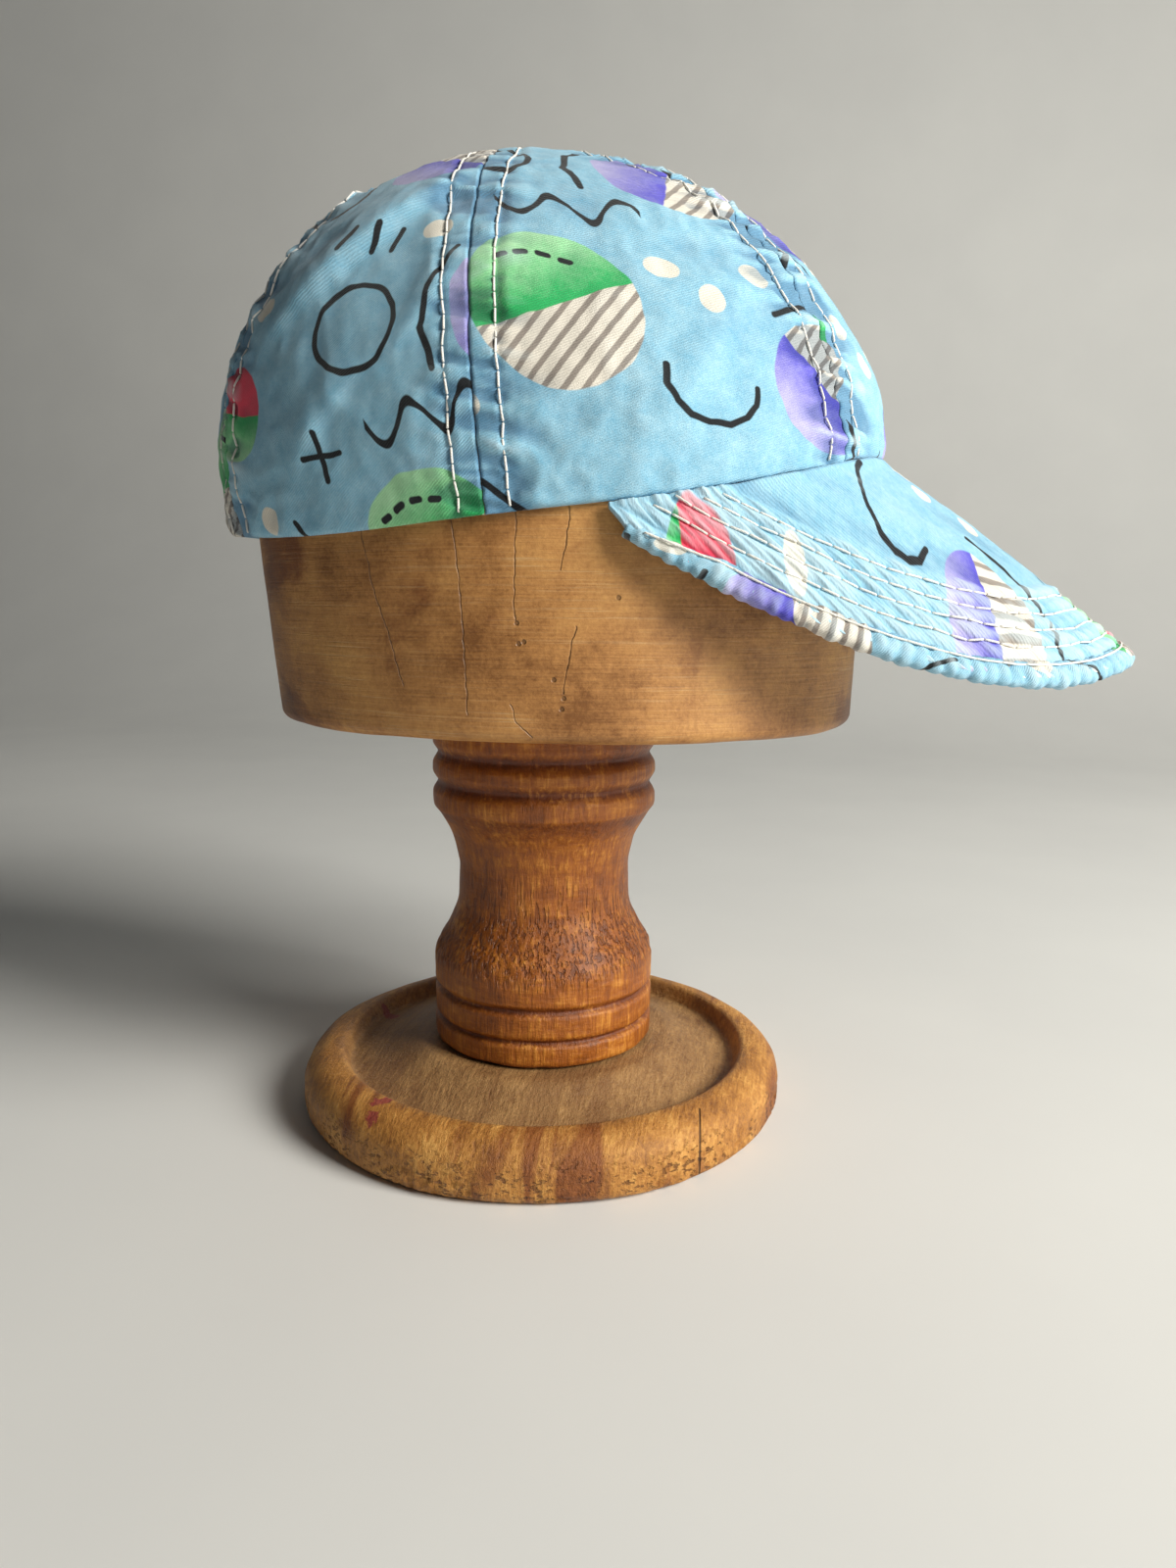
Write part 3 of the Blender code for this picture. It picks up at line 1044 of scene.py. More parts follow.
# The printed cotton's repeat, in mm: a plain modern print of split discs, dots and brushed lines
printing = {
    "tile": (150, 132),
    "stagger": 66,
    "wobble": 4.0,
    "discs": [
        {"at": (34, 36), "radius": 22, "turn": 25, "fills": ("stripes", "green")},
        {"at": (106, 30), "radius": 17, "turn": -40, "fills": ("violet", "stripes")},
        {"at": (72, 94), "radius": 20, "turn": 72, "fills": ("stripes", "violet")},
        {"at": (124, 90), "radius": 13, "turn": -20, "fills": ("green", "coral")},
    ],
    "ring": {"at": (24, 98), "radius": 12.5},
    "dots": [
        {"at": (62, 52), "size": (4.2, 3.1)},
        {"at": (73, 45), "size": (3.6, 3.9)},
        {"at": (86, 56), "size": (4.0, 3.0)},
        {"at": (10, 8), "size": (3.8, 3.2)},
        {"at": (141, 116), "size": (4.2, 3.3)},
        {"at": (132, 58), "size": (3.4, 3.9)},
        {"at": (48, 122), "size": (4.1, 3.2)},
    ],
    "lines": [
        # an open arch, left half and right half
        ((60.2, 23.7), (60.4, 19.4), (62.8, 15.6), (66.9, 12.9), (72, 12)),
        ((72, 12), (77.1, 12.9), (81.2, 15.6), (83.6, 19.4), (83.8, 23.7)),
        # plus signs
        ((8, 61), (8, 74)),
        ((2, 68), (14, 67)),
        ((133, 9), (132, 22)),
        ((126, 16), (139, 15)),
        # long bent lines
        ((92, 124), (104, 119), (117, 112)),
        ((90, 46), (101, 52), (113, 53), (125, 48)),
        ((47, 80), (44, 92), (47, 103), (54, 113)),
        ((143, 32), (146, 43), (142, 55)),
        ((95, 71), (102, 74), (110, 73)),
        # short strokes side by side
        ((28, 120), (31, 126)),
        ((34, 119), (37, 125)),
        ((20, 121), (24, 127)),
        # a broken line over the striped half
        ((22, 49), (24, 49.5)),
        ((27, 50), (29, 50.5)),
        ((32, 50.5), (34, 50.5)),
        ((37, 50), (39, 49.5)),
    ],
    # the wave's slant brings its edge nearer than the way straight up, by the lean
    "wave": {"at": (42, 70), "half": 17, "height": 4.5, "pitch": 17, "lean": 0.7},
    "line": 0.85,  # half width of a brushed line
    "lineSoft": 0.15,  # how far the ink bleeds at a line's side
    "soft": 0.2,  # how far the dyes bleed at a disc's edge
    "ground": ("#78B8D8", "#AEDAEE"),
    "stripes": ("#EAE4D8", "#9B928A"),
    "washes": {"green": ("#B4ECBA", "#2FB868"), "violet": ("#BDBAE8", "#5F5BD0")},  # faint, strong
    "coral": "#EE4460",
    "dotTone": "#F0EBDD",
    "ink": "#1C2024",
    # tones for wear and painted highlight on raised cloth, and for painted shade in its hollows
    "wearAndShading": "#D9ECF4",
    "creaseShade": "#5B82A6",
}


def makePrintCotton():
    # dyed cotton twill, printed and washed soft: matt, a faint pale nap, raised folds paler as wear and
    # painted highlight, hollows darker as painted shade
    material, add = newMaterial("printCotton")

    # the cloth's map is in decimetres; the print, in mm, wobbles a little as a hand-cut one does
    cloth = add("UVMap", uv_map="cloth")
    place = add("VectorMath", {0: cloth, "Scale": 100.0}, operation="SCALE")
    wobble = add("TexNoise", {"Vector": place, "Scale": 0.06, "Detail": 2.0, "Roughness": 0.5})
    centred = add("VectorMath", {0: wobble.outputs["Color"], 1: (0.5, 0.5, 0.5)}, operation="SUBTRACT")
    sway = (printing["wobble"],) * 3
    bent = add("VectorMath", {0: centred, 1: sway, 2: place}, operation="MULTIPLY_ADD")

    # each row of the repeat is staggered
    bentX, bentY, _ = add("SeparateXYZ", {"Vector": bent}).outputs
    width, height = printing["tile"]
    row = add("Math", {0: bentY, 1: height}, operation="DIVIDE")
    row = add("Math", {0: row}, operation="FLOOR")
    stagger = add("Math", {0: row, 1: printing["stagger"], 2: bentX}, operation="MULTIPLY_ADD")
    tileX = add("Math", {0: stagger, 1: width}, operation="FLOORED_MODULO")
    tileY = add("Math", {0: bentY, 1: height}, operation="FLOORED_MODULO")
    spot = add("CombineXYZ", {"X": tileX, "Y": tileY})

    # the dye lies unevenly, in clouds about 6 mm across and specks of 1 mm
    wash = add("TexNoise", {"Vector": place, "Scale": 0.16, "Detail": 5.0, "Roughness": 0.65})
    grain = add("TexNoise", {"Vector": place, "Scale": 0.9, "Detail": 3.0, "Roughness": 0.7})
    blotch = add("Mix", {"Factor": 0.4, "A": wash, "B": grain})
    faded = add("MapRange", {"Value": blotch, "From Min": 0.30, "From Max": 0.70})
    ground, pale = printing["ground"]
    colour = add("Mix", {"Factor": faded, "A": ground, "B": pale}, **cover)

    # stripes about 4 mm apart
    slant = add("Mapping", {"Vector": place, "Rotation": (0, 0, radians(35))})
    bars = add(
        "TexWave",
        {"Vector": slant, "Scale": 0.084, "Distortion": 0.6, "Detail": 2.0, "Detail Scale": 1.2},
    )
    bars = add("MapRange", {"Value": bars, "From Min": 0.60, "From Max": 0.80})
    light, dark = printing["stripes"]
    stripes = add("Mix", {"Factor": bars, "A": light, "B": dark}, **cover)
    fills = {"stripes": stripes, "coral": printing["coral"]}

    soft = printing["soft"]
    for disc in printing["discs"]:
        radius = disc["radius"]
        away = add("VectorMath", {0: spot, 1: disc["at"] + (0,)}, operation="SUBTRACT")
        size = add("VectorMath", {0: away}, operation="LENGTH")
        mask = add("MapRange", {"Value": size, "From Min": radius + soft, "From Max": radius - soft})
        angle = radians(disc["turn"])
        square = (-sin(angle), cos(angle), 0)
        across = add("VectorMath", {0: away, 1: square}, operation="DOT_PRODUCT")
        side = add("MapRange", {"Value": across, "From Min": -soft, "From Max": soft})
        # a wash runs from strong at the disc's middle line to faint at its rim, speckled by the cloth
        run = add("Math", {0: across}, operation="ABSOLUTE")
        run = add("MapRange", {"Value": run, "From Max": radius, "To Min": 0.95, "To Max": 0.0})
        speckle = add("Mix", {"Factor": 0.5, "A": run, "B": blotch})
        for name, (faint, strong) in printing["washes"].items():
            if name in disc["fills"]:
                fills[name] = add("ValToRGB", {"Fac": speckle}, ramp=((0.28, faint), (0.68, strong)))
        first, second = disc["fills"]
        inside = add("Mix", {"Factor": side, "A": fills[first], "B": fills[second]}, **cover)
        colour = add("Mix", {"Factor": mask, "A": colour, "B": inside}, **cover)

    for dot in printing["dots"]:
        away = add("VectorMath", {0: spot, 1: dot["at"] + (0,)}, operation="SUBTRACT")
        even = add("VectorMath", {0: away, 1: dot["size"] + (1,)}, operation="DIVIDE")
        size = add("VectorMath", {0: even}, operation="LENGTH")
        mask = add("MapRange", {"Value": size, "From Min": 1.06, "From Max": 0.97})
        colour = add("Mix", {"Factor": mask, "A": colour, "B": printing["dotTone"]}, **cover)

    # brushed lines, the ring and the wave, all in one ink
    nearest = strokeDistance(add, spot, printing["lines"])
    ring = printing["ring"]
    size = add("VectorMath", {0: spot, 1: ring["at"] + (0,)}, operation="DISTANCE")
    off = add("Math", {0: size, 1: ring["radius"]}, operation="SUBTRACT")
    off = add("Math", {0: off}, operation="ABSOLUTE")
    nearest = add("Math", {0: nearest, 1: off}, operation="MINIMUM")
    wave = printing["wave"]
    middleX, middleY = wave["at"]
    angle = add("Math", {0: tileX, 1: 2 * pi / wave["pitch"]}, operation="MULTIPLY")
    swing = add("Math", {0: angle}, operation="SINE")
    middle = add("Math", {0: swing, 1: wave["height"], 2: middleY}, operation="MULTIPLY_ADD")
    upAway = add("Math", {0: tileY, 1: middle}, operation="SUBTRACT")
    upAway = add("Math", {0: upAway, 1: wave["lean"]}, operation="MULTIPLY")
    upAway = add("Math", {0: upAway}, operation="ABSOLUTE")
    outAway = add("Math", {0: tileX, 1: middleX}, operation="SUBTRACT")
    outAway = add("Math", {0: outAway}, operation="ABSOLUTE")
    outAway = add("Math", {0: outAway, 1: wave["half"]}, operation="SUBTRACT")
    off = add("Math", {0: upAway, 1: outAway}, operation="MAXIMUM")
    nearest = add("Math", {0: nearest, 1: off}, operation="MINIMUM")
    line = printing["line"]
    soft = printing["lineSoft"]
    inked = add("MapRange", {"Value": nearest, "From Min": line + soft, "From Max": line - soft})
    colour = add("Mix", {"Factor": inked, "A": colour, "B": printing["ink"]}, **cover)

    # wear and painted highlight: raised cloth goes paler; painted shade: cloth in the seams and pinches
    # goes darker
    wearAndShading = add("Attribute", attribute_name="wearAndShading").outputs["Fac"]
    pale = add("MapRange", {"Value": wearAndShading, "From Min": 0.08, "From Max": 0.9, "To Max": 0.45})
    deep = add("MapRange", {"Value": wearAndShading, "From Min": -0.05, "From Max": -0.65, "To Max": 0.62})
    colour = add("Mix", {"Factor": pale, "A": colour, "B": printing["wearAndShading"]}, **cover)
    # painted shade in the seams, pinches and stitched rows
    colour = add("Mix", {"Factor": deep, "A": colour, "B": printing["creaseShade"]}, **multiplyMix)

    # twill lines 0.6 mm apart under a short fuzz
    slant = add("Mapping", {"Vector": place, "Rotation": (0, 0, radians(62))})
    twill = add(
        "TexWave",
        {"Vector": slant, "Scale": 0.52, "Distortion": 2.5, "Detail": 2.0, "Detail Scale": 1.5},
    )
    fuzz = add("TexNoise", {"Vector": place, "Scale": 2.6, "Detail": 3.0})
    relief = add("Mix", {"Factor": 0.6, "A": twill, "B": fuzz})
    thin = add(
        "MapRange", {"Value": relief, "From Min": 0.2, "From Max": 0.8, "To Min": 0.90, "To Max": 1.05}
    )
    colour = add("Mix", {"Factor": 1.0, "A": colour, "B": thin}, **multiplyMix)
    bump = add("Bump", {"Height": relief, "Strength": 0.7, "Distance": 0.0003})
    nap = {"Sheen Weight": 0.18, "Sheen Roughness": 0.5, "Specular IOR Level": 0.3}
    shader = add("BsdfPrincipled", {"Base Color": colour, "Normal": bump, "Roughness": 0.88, **nap})
    add("OutputMaterial", {"Surface": shader})
    return material


def makeThread():
    # spun cotton sewing thread: off-white, matt, its twist seen as fine slanting lines
    material, add = newMaterial("cottonThread")
    place = add("TexCoord").outputs["Object"]
    twist = add("TexWave", {"Vector": place, "Scale": 900.0, "Distortion": 1.0}, bands_direction="DIAGONAL")
    fluff = add("TexNoise", {"Vector": place, "Scale": 260.0, "Detail": 2.0})
    colour = add("Mix", {"Factor": fluff, "A": "#FBFAF6", "B": "#DCD9D0"}, **cover)
    bump = add("Bump", {"Height": twist, "Strength": 0.4, "Distance": 0.0001})
    shader = add(
        "BsdfPrincipled", {"Base Color": colour, "Normal": bump, "Roughness": 0.8, "Sheen Weight": 0.15}
    )
    add("OutputMaterial", {"Surface": shader})
    return material


def woodSpot(add):
    # place on a wooden piece in mm, whole and split, so a pattern's scale is its changes per mm
    spot = add("VectorMath", {0: add("TexCoord").outputs["Object"], "Scale": 1000.0}, operation="SCALE")
    x, y, z = add("SeparateXYZ", {"Vector": spot}).outputs
    return spot, x, y, z


def woodSurface(add, look, colour, mixed, height):
    # a worn finish: duller where the grain is pale, over the wood's own relief
    dullest = {"To Min": look["roughness"][0], "To Max": look["roughness"][1]}
    dull = add("MapRange", {"Value": mixed, "From Min": 0.35, "From Max": 0.65, **dullest})
    bump = add("Bump", {"Height": height, "Strength": look["relief"], "Distance": look["depth"]})
    coat = {"Coat Weight": look["coat"], "Coat Roughness": look["coatRoughness"]}
    shader = add("BsdfPrincipled", {"Base Color": colour, "Roughness": dull, "Normal": bump, **coat})
    add("OutputMaterial", {"Surface": shader})


# places of marks are in mm across and up on the block's near side
blockLook = {
    "tones": ((0.38, "#805124"), (0.5, "#B68046"), (0.63, "#D6A05C")),
    "stain": "#A87C55",
    # painted shade for the back end
    "backEndShade": "#A0754E",
    "scratched": "#DDBB8A",
    "scratches": [
        {"turn": 3, "stretch": (0.02, 0.02, 1.7), "least": 0.63},
        {"turn": 48, "stretch": (0.03, 0.03, 1.5), "least": 0.64},
        {"turn": -38, "stretch": (0.035, 0.035, 1.4), "least": 0.66},
    ],
    "checked": "#3A2412",
    "checks": [
        ((-34.1, 185), (-30.6, 169), (-26, 155), (-22.3, 142.8)),
        ((-7.2, 187), (-5.6, 173), (-4.6, 155), (-3.8, 136)),
        ((9.6, 188), (9.0, 175), (8.8, 159.9)),
        ((22.9, 189), (22.2, 181), (20.4, 173)),
        ((24.3, 159), (22.6, 151), (21.4, 142)),
        ((7.6, 139), (9.2, 134.6), (13.1, 130.5)),
    ],
    "pinHoles": [
        (9.5, 159.7),
        (10.0, 154.5),
        (11.3, 155.0),
        (18.9, 145.5),
        (21.4, 140.8),
        (20.9, 138.0),
        (34.9, 166.3),
    ],
    "roughness": (0.42, 0.58),
    "relief": 0.6,
    "depth": 0.0003,
    "coat": 0.10,
    "coatRoughness": 0.4,
}


def makeBlockWood():
    # close-grained lime or poplar, sanded and oiled by hands: satin, blotched, scratched every way
    # and finely checked
    material, add = newMaterial("handledBlockWood")
    spot, x, y, z = woodSpot(add)
    blotch = add("TexNoise", {"Vector": spot, "Scale": 0.035, "Detail": 5.0, "Roughness": 0.62})
    lengthwise = add("Mapping", {"Vector": spot, "Scale": (0.04, 0.04, 1.5)})  # 25 mm by 0.7 mm
    streak = add("TexNoise", {"Vector": lengthwise, "Scale": 1.0, "Detail": 4.0, "Roughness": 0.6})
    speck = add("TexNoise", {"Vector": spot, "Scale": 0.9, "Detail": 4.0, "Roughness": 0.75})
    mixed = add("Mix", {"Factor": 0.22, "A": blotch, "B": streak})
    mixed = add("Mix", {"Factor": 0.24, "A": mixed, "B": speck})
    body = add("ValToRGB", {"Fac": mixed}, ramp=blockLook["tones"])
    stain = add(
        "TexNoise", {"Vector": spot, "Scale": 0.022, "Detail": 6.0, "Roughness": 0.68, "Distortion": 0.6}
    )
    dirt = add("MapRange", {"Value": stain, "From Min": 0.50, "From Max": 0.60, "To Max": 0.7})
    colour = add("Mix", {"Factor": dirt, "A": body, "B": blockLook["stain"]}, **multiplyMix)

    # painted shade: the back end, on the side away from the key light, is darkened
    backEndShade = add("Math", {0: blotch, 1: 40.0, 2: x}, operation="MULTIPLY_ADD")
    backEndShade = add("MapRange", {"Value": backEndShade, "From Min": -38.0, "From Max": -74.0, "To Max": 0.6})
    colour = add("Mix", {"Factor": backEndShade, "A": colour, "B": blockLook["backEndShade"]}, **multiplyMix)

    # fine scratches lie along the block and slantwise, each a hair wide, drawn 0.4 mm wide to show
    scratches = 0.0
    for scratch in blockLook["scratches"]:
        turn = (0, radians(scratch["turn"]), 0)
        least = scratch["least"]
        slant = add("Mapping", {"Vector": spot, "Rotation": turn, "Scale": scratch["stretch"]})
        line = add("TexNoise", {"Vector": slant, "Scale": 1.0, "Detail": 2.0, "Roughness": 0.5})
        mask = add("MapRange", {"Value": line, "From Min": least, "From Max": least + 0.05})
        scratches = add("Math", {0: scratches, 1: mask}, operation="MAXIMUM")
    patch = add("MapRange", {"Value": blotch, "From Min": 0.40, "From Max": 0.62})
    seen = add("Math", {0: scratches, 1: patch}, operation="MULTIPLY")
    faint = add("Math", {0: seen, 1: 0.42}, operation="MULTIPLY")
    colour = add("Mix", {"Factor": faint, "A": colour, "B": blockLook["scratched"]}, **cover)

    # checks and pin holes on the near side
    waver = add("TexNoise", {"Vector": spot, "Scale": 0.25, "Detail": 2.0})
    waver = add("MapRange", {"Value": waver, "To Min": -0.9, "To Max": 0.9})
    across = add("Math", {0: x, 1: waver}, operation="ADD")
    check = strokeDistance(add, add("CombineXYZ", {"X": across, "Y": z}), blockLook["checks"])
    check = add("MapRange", {"Value": check, "From Min": 0.26, "From Max": 0.06})
    holes = [(hole, hole) for hole in blockLook["pinHoles"]]
    hole = strokeDistance(add, add("CombineXYZ", {"X": x, "Y": z}), holes)
    hole = add("MapRange", {"Value": hole, "From Min": 0.75, "From Max": 0.45})
    marks = add("Math", {0: check, 1: hole}, operation="MAXIMUM")
    near = add("MapRange", {"Value": y, "From Min": -20.0, "From Max": -30.0})
    marks = add("Math", {0: marks, 1: near}, operation="MULTIPLY")
    dark = add("Math", {0: marks, 1: 0.55}, operation="MULTIPLY")
    colour = add("Mix", {"Factor": dark, "A": colour, "B": blockLook["checked"]}, **cover)

    height = add("Math", {0: speck, 1: 0.8, 2: streak}, operation="MULTIPLY_ADD")
    height = add("Math", {0: seen, 1: -0.35, 2: height}, operation="MULTIPLY_ADD")
    height = add("Math", {0: marks, 1: -3.0, 2: height}, operation="MULTIPLY_ADD")
    woodSurface(add, blockLook, colour, mixed, height)
    return material


postLook = {
    "tones": ((0.37, "#6E3708"), (0.49, "#9A5410"), (0.62, "#C67C22")),
    "groove": "#8A5028",
    "rubbed": "#D89744",
    # torn grain's tone, which also stands for painted shade in its tears
    "torn": "#7A4420",
    # heights in mm over which a mark comes in
    "highGrooves": (93.0, 100.0),
    "lowGrooves": (45.0, 41.0),
    "tornFoot": (45.0, 52.0),
    "tornHead": (84.0, 66.0),
    "roughness": (0.36, 0.58),
    "relief": 0.9,
    "depth": 0.0006,
    "coat": 0.12,
    "coatRoughness": 0.35,
}


def makePostWood():
    # turned softwood under old orange shellac, most of it worn away: dark in the grooves, pale on
    # the crests
    material, add = newMaterial("shellackedPostWood")
    spot, x, y, z = woodSpot(add)
    upright = add("Mapping", {"Vector": spot, "Scale": (0.8, 0.8, 0.10)})  # fibres 1.2 by 10 mm
    grain = add("TexNoise", {"Vector": upright, "Scale": 1.0, "Detail": 5.0, "Roughness": 0.66})
    turned = add("Mapping", {"Vector": spot, "Scale": (0.09, 0.09, 0.36)})  # tool rounds 3 mm apart
    rounds = add("TexNoise", {"Vector": turned, "Scale": 1.0, "Detail": 5.0, "Roughness": 0.7})
    cloud = add("TexNoise", {"Vector": spot, "Scale": 0.06, "Detail": 5.0, "Roughness": 0.65})
    mixed = add("Mix", {"Factor": 0.4, "A": cloud, "B": rounds})
    mixed = add("Mix", {"Factor": 0.35, "A": mixed, "B": grain})
    body = add("ValToRGB", {"Fac": mixed}, ramp=postLook["tones"])

    # dirt in the grooves between the beads, above and below the waist
    out = add("VectorMath", {0: add("CombineXYZ", {"X": x, "Y": y})}, operation="LENGTH")
    heights = {}
    for name in ("highGrooves", "lowGrooves", "tornFoot", "tornHead"):
        start, full = postLook[name]
        heights[name] = add("MapRange", {"Value": z, "From Min": start, "From Max": full})
    beads = add("Math", {0: heights["highGrooves"], 1: heights["lowGrooves"]}, operation="MAXIMUM")
    sunk = add("MapRange", {"Value": out, "From Min": 36.1, "From Max": 35.0})
    sunk = add("Math", {0: sunk, 1: beads}, operation="MULTIPLY")
    deep = add("Math", {0: sunk, 1: 0.75}, operation="MULTIPLY")
    colour = add("Mix", {"Factor": deep, "A": body, "B": postLook["groove"]}, **multiplyMix)
    rubbed = add("MapRange", {"Value": mixed, "From Min": 0.54, "From Max": 0.62, "To Max": 0.5})
    colour = add("Mix", {"Factor": rubbed, "A": colour, "B": postLook["rubbed"]}, **cover)

    # short torn fibres over the lower swell, each about 1 mm wide and 4 mm long, darkened partly as the
    # torn grain's own tone and partly as painted shade in the tears
    leaning = {"Rotation": (0, radians(9), 0), "Scale": (0.95, 0.95, 0.13)}
    leaning = add("Mapping", {"Vector": spot, **leaning})
    fibre = add("TexNoise", {"Vector": leaning, "Scale": 1.0, "Detail": 2.0, "Roughness": 0.5})
    tick = add("MapRange", {"Value": fibre, "From Min": 0.51, "From Max": 0.60})
    torn = add("Math", {0: heights["tornFoot"], 1: heights["tornHead"]}, operation="MULTIPLY")
    torn = add("Math", {0: torn, 1: tick}, operation="MULTIPLY")
    inked = add("Math", {0: torn, 1: 0.48}, operation="MULTIPLY")
    colour = add("Mix", {"Factor": inked, "A": colour, "B": postLook["torn"]}, **multiplyMix)

    height = add("Math", {0: grain, 1: 1.2, 2: rounds}, operation="MULTIPLY_ADD")
    height = add("Math", {0: torn, 1: -1.2, 2: height}, operation="MULTIPLY_ADD")
    woodSurface(add, postLook, colour, mixed, height)
    return material


# places of marks are in mm on the base as seen from above
baseLook = {
    "tones": ((0.37, "#7E4C1C"), (0.5, "#BC813A"), (0.62, "#E4AC5C")),
    "band": "#A06A48",
    "dishTones": ((0.37, "#76502E"), (0.64, "#C09660")),
    "smudge": "#7A5332",
    "paint": "#96303A",
    "specks": [((-63, 16), (-58, 12)), ((-37, -61), (-34, -60)), ((-37, -66), (-36, -67))],
    "checked": "#3B2212",
    "check": ((57, -45), (58.5, -58)),
    # torn grain's tone, which also stands for painted shade in its pits
    "torn": "#6E431F",
    "roughness": (0.45, 0.66),
    "relief": 0.8,
    "depth": 0.0006,
    "coat": 0.06,
    "coatRoughness": 0.4,
}


def makeBaseWood():
    # softwood turned across its boards: tan rim with dark growth bands, dusty grey floor in the dish
    material, add = newMaterial("wornBaseWood")
    spot, x, y, z = woodSpot(add)
    fibres = add("Mapping", {"Vector": spot, "Scale": (0.9, 0.14, 0.30)})  # the boards run along y
    grain = add("TexNoise", {"Vector": fibres, "Scale": 1.0, "Detail": 5.0, "Roughness": 0.68})
    cloud = add("TexNoise", {"Vector": spot, "Scale": 0.055, "Detail": 6.0, "Roughness": 0.66})
    speck = add("TexNoise", {"Vector": spot, "Scale": 0.7, "Detail": 4.0, "Roughness": 0.75})
    mixed = add("Mix", {"Factor": 0.45, "A": cloud, "B": grain})
    mixed = add("Mix", {"Factor": 0.22, "A": mixed, "B": speck})
    rim = add("ValToRGB", {"Fac": mixed}, ramp=baseLook["tones"])
    growth = {"Rotation": (0, 0, radians(12)), "Scale": (0.11, 0.012, 0.02)}  # rings 9 mm apart
    growth = add("Mapping", {"Vector": spot, **growth})
    uneven = {"Scale": 1.0, "Detail": 3.0, "Roughness": 0.5, "Distortion": 0.5}
    bands = add("TexNoise", {"Vector": growth, **uneven})
    banded = add("MapRange", {"Value": bands, "From Min": 0.54, "From Max": 0.64, "To Max": 0.75})
    rim = add("Mix", {"Factor": banded, "A": rim, "B": baseLook["band"]}, **multiplyMix)

    # the dish's floor, dustier than the rim, with a ragged edge
    dish = add("ValToRGB", {"Fac": mixed}, ramp=baseLook["dishTones"])
    smudge = add("MapRange", {"Value": bands, "From Min": 0.50, "From Max": 0.62, "To Max": 0.45})
    dish = add("Mix", {"Factor": smudge, "A": dish, "B": baseLook["smudge"]}, **cover)
    flat = add("CombineXYZ", {"X": x, "Y": y})
    out = add("VectorMath", {0: flat}, operation="LENGTH")
    edge = add("Math", {0: cloud, 1: 6.0, 2: out}, operation="MULTIPLY_ADD")
    inside = add("MapRange", {"Value": edge, "From Min": 73.0, "From Max": 67.0})
    colour = add("Mix", {"Factor": inside, "A": rim, "B": dish}, **cover)

    # three old specks of red paint, and one open check down the rim
    paint = strokeDistance(add, flat, baseLook["specks"])
    ragged = add("Math", {0: speck, 1: 5.0, 2: paint}, operation="MULTIPLY_ADD")
    red = add("MapRange", {"Value": ragged, "From Min": 4.4, "From Max": 3.9, "To Max": 0.8})
    colour = add("Mix", {"Factor": red, "A": colour, "B": baseLook["paint"]}, **cover)
    check = strokeDistance(add, flat, [baseLook["check"]])
    check = add("MapRange", {"Value": check, "From Min": 0.38, "From Max": 0.1, "To Max": 0.8})
    colour = add("Mix", {"Factor": check, "A": colour, "B": baseLook["checked"]}, **cover)

    # end grain torn out low on the rim, in pits 1 to 3 mm across, darkened partly as the torn grain's own
    # tone and partly as painted shade in the pits
    pitted = add("Mapping", {"Vector": spot, "Scale": (0.42, 0.42, 0.75)})
    pit = add("TexNoise", {"Vector": pitted, "Scale": 1.0, "Detail": 4.0, "Roughness": 0.6})
    pit = add("MapRange", {"Value": pit, "From Min": 0.54, "From Max": 0.62})
    low = add("MapRange", {"Value": z, "From Min": 15.0, "From Max": 9.0})
    some = add("MapRange", {"Value": cloud, "From Min": 0.44, "From Max": 0.52})
    torn = add("Math", {0: low, 1: some}, operation="MULTIPLY")
    torn = add("Math", {0: torn, 1: pit}, operation="MULTIPLY")
    inked = add("Math", {0: torn, 1: 0.65}, operation="MULTIPLY")
    colour = add("Mix", {"Factor": inked, "A": colour, "B": baseLook["torn"]}, **multiplyMix)

    height = add("Math", {0: speck, 1: 1.2, 2: grain}, operation="MULTIPLY_ADD")
    height = add("Math", {0: torn, 1: -1.8, 2: height}, operation="MULTIPLY_ADD")
    height = add("Math", {0: check, 1: -2.5, 2: height}, operation="MULTIPLY_ADD")
    woodSurface(add, baseLook, colour, mixed, height)
    return material


printCotton = makePrintCotton()
cottonThread = makeThread()
print("cloth and thread finishes made")

# Pieces

for name, panel in panels.items():
    piece = makePanel(name, panel)
    finishPiece(piece, printCotton, name)
    print(name, "made")

crownPlaces = []
for panel in panels.values():
    crownPlaces += crownRow(panel, 1) + crownRow(panel, -1)
piece = makeStitches("crown_stitches", crownPlaces)
finishPiece(piece, cottonThread)
print("crown sewn,", len(crownPlaces), "stitches")

finishPiece(makeBill(), printCotton, "bill")
finishPiece(makeBinding(), printCotton, "bill_binding")
billPlaces = bindingRow()
for distance in bill["rowPlaces"]:
    billPlaces += billRow(distance)
piece = makeStitches("bill_stitches", billPlaces)
finishPiece(piece, cottonThread)
bpy.data.objects.remove(bead)
print("bill sewn,", len(billPlaces), "stitches")

hatBlock = makeRound("hat_block", block["columns"], blockRings(), blockRelief)
finishPiece(hatBlock, makeBlockWood(), "stand_block")
turnedPost = makeRound("turned_post", post["columns"], postRings(), postRelief)
finishPiece(turnedPost, makePostWood(), "stand_post")
dishedBase = makeRound("dished_base", base["columns"], baseRings(), baseRelief)
finishPiece(dishedBase, makeBaseWood(), "stand_base")
print("stand made")

# Studio: pale floor, soft light, and the camera where the photograph was taken

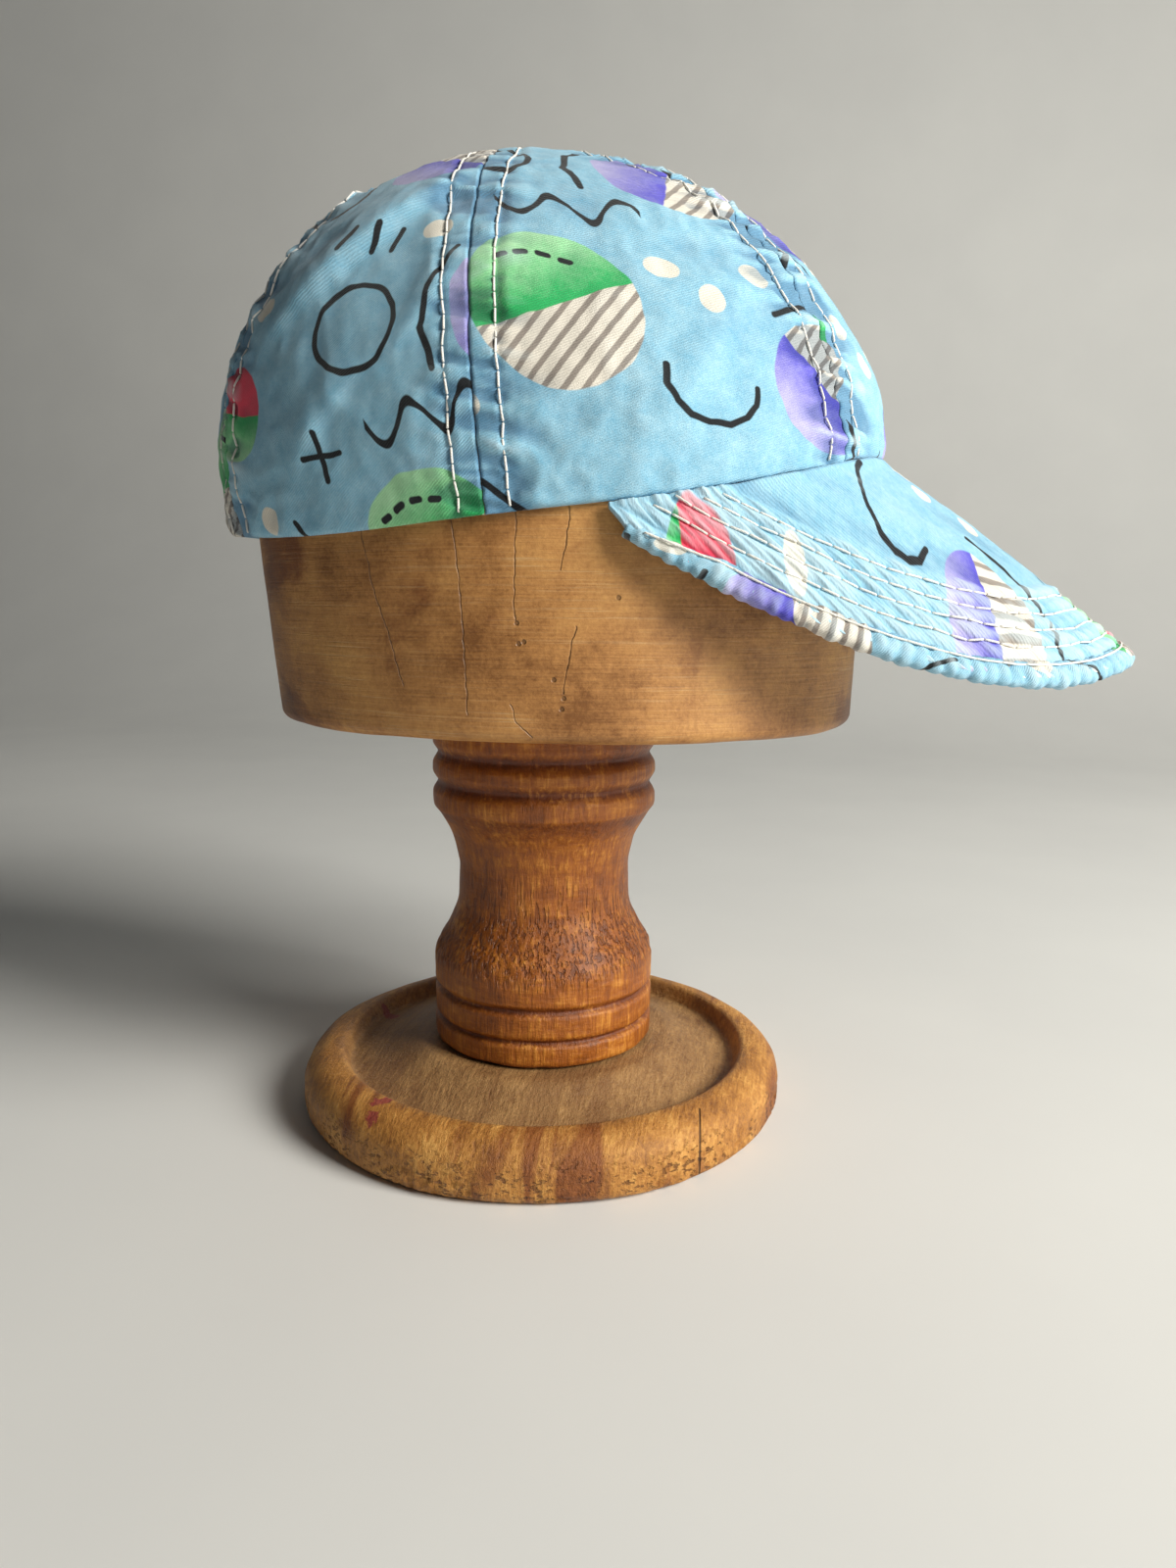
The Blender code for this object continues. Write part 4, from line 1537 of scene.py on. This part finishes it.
studio = {
    "lights": {
        "key": {
            "place": (1.36, -0.54, 0.88),
            "aim": (0, 0, 0.17),
            "size": (0.75, 0.75),
            "power": 41,
            "tint": "#FFFBF2",
        },
        "fill": {
            "place": (-1.3, -0.9, 0.6),
            "aim": (0, 0, 0.15),
            "size": (1.4, 1.2),
            "power": 0.1,
            "tint": "#EAF1FF",
        },
    },
    "air": "#C9CCCE",
    "airStrength": 0.06,
    "paper": ("#E2E3E2", "#ECEDEB"),
    "paperWide": 9,
    "paperLong": 6,
    "paperStart": -2.5,
    "flat": 3.4,  # how far the paper lies flat before it sweeps up
    "sweep": 0.6,
}
camera = {
    "place": (0.0759, -0.3471, 0.1659),
    "turn": radians(10),
    "down": radians(9.65),
    "roll": radians(0.58),
    "lens": 24.975,
}

deselectAll()
bpy.ops.mesh.primitive_grid_add(x_subdivisions=4, y_subdivisions=60, size=1)
floor = bpy.context.object
floor.name = "floor"
flat, sweep = studio["flat"], studio["sweep"]
for vertex in floor.data.vertices:
    # flat under the stand, then swept up into a wall behind it
    run = (vertex.co.y + 0.5) * studio["paperLong"]
    bend = min(max((run - flat) / sweep, 0), pi / 2)
    back = studio["paperStart"] + min(run, flat) + sweep * sin(bend)
    rise = sweep * (1 - cos(bend)) + max(run - flat - sweep * pi / 2, 0)
    vertex.co = (vertex.co.x * studio["paperWide"], back, rise)
floor.data.shade_smooth()
paper, add = newMaterial("paleBackdrop")  # seamless background paper: flat, matt, faintly mottled
mottle = add("TexNoise", {"Vector": add("TexCoord").outputs["Object"], "Scale": 8.0, "Detail": 4.0})
colour = add("Mix", {"Factor": mottle, "A": studio["paper"][0], "B": studio["paper"][1]}, **cover)
shader = add("BsdfPrincipled", {"Base Color": colour, "Roughness": 0.9})
add("OutputMaterial", {"Surface": shader})
floor.data.materials.append(paper)

for name, light in studio["lights"].items():
    deselectAll()
    bpy.ops.object.light_add(type="AREA", location=light["place"])
    lamp = bpy.context.object
    lamp.name = name
    lamp.data.shape = "RECTANGLE"
    lamp.data.size, lamp.data.size_y = light["size"]
    lamp.data.energy = light["power"]
    lamp.data.color = tone(light["tint"])[:3]
    aim = Vector(light["aim"]) - Vector(light["place"])
    lamp.rotation_euler = aim.to_track_quat("-Z", "Y").to_euler()

world = bpy.data.worlds.new("studioAir")
bpy.context.scene.world = world
world.use_nodes = True
air = world.node_tree.nodes["Background"]
air.inputs["Color"].default_value = tone(studio["air"])
air.inputs["Strength"].default_value = studio["airStrength"]

deselectAll()
bpy.ops.object.camera_add(location=camera["place"])
eye = bpy.context.object
eye.name = "eye"
turn, down = camera["turn"], camera["down"]
look = Vector((-sin(turn) * cos(down), cos(turn) * cos(down), -sin(down)))
level = look.to_track_quat("-Z", "Y").to_matrix()
eye.rotation_euler = (level @ Matrix.Rotation(camera["roll"], 3, "Z")).to_euler()
eye.data.lens = camera["lens"]
eye.data.sensor_width = 36
eye.data.sensor_fit = "AUTO"
eye.data.clip_start = 0.01
bpy.context.scene.camera = eye
bpy.context.scene.view_settings.view_transform = "Standard"  # the cloth's dyes keep their strength
print("studio set")
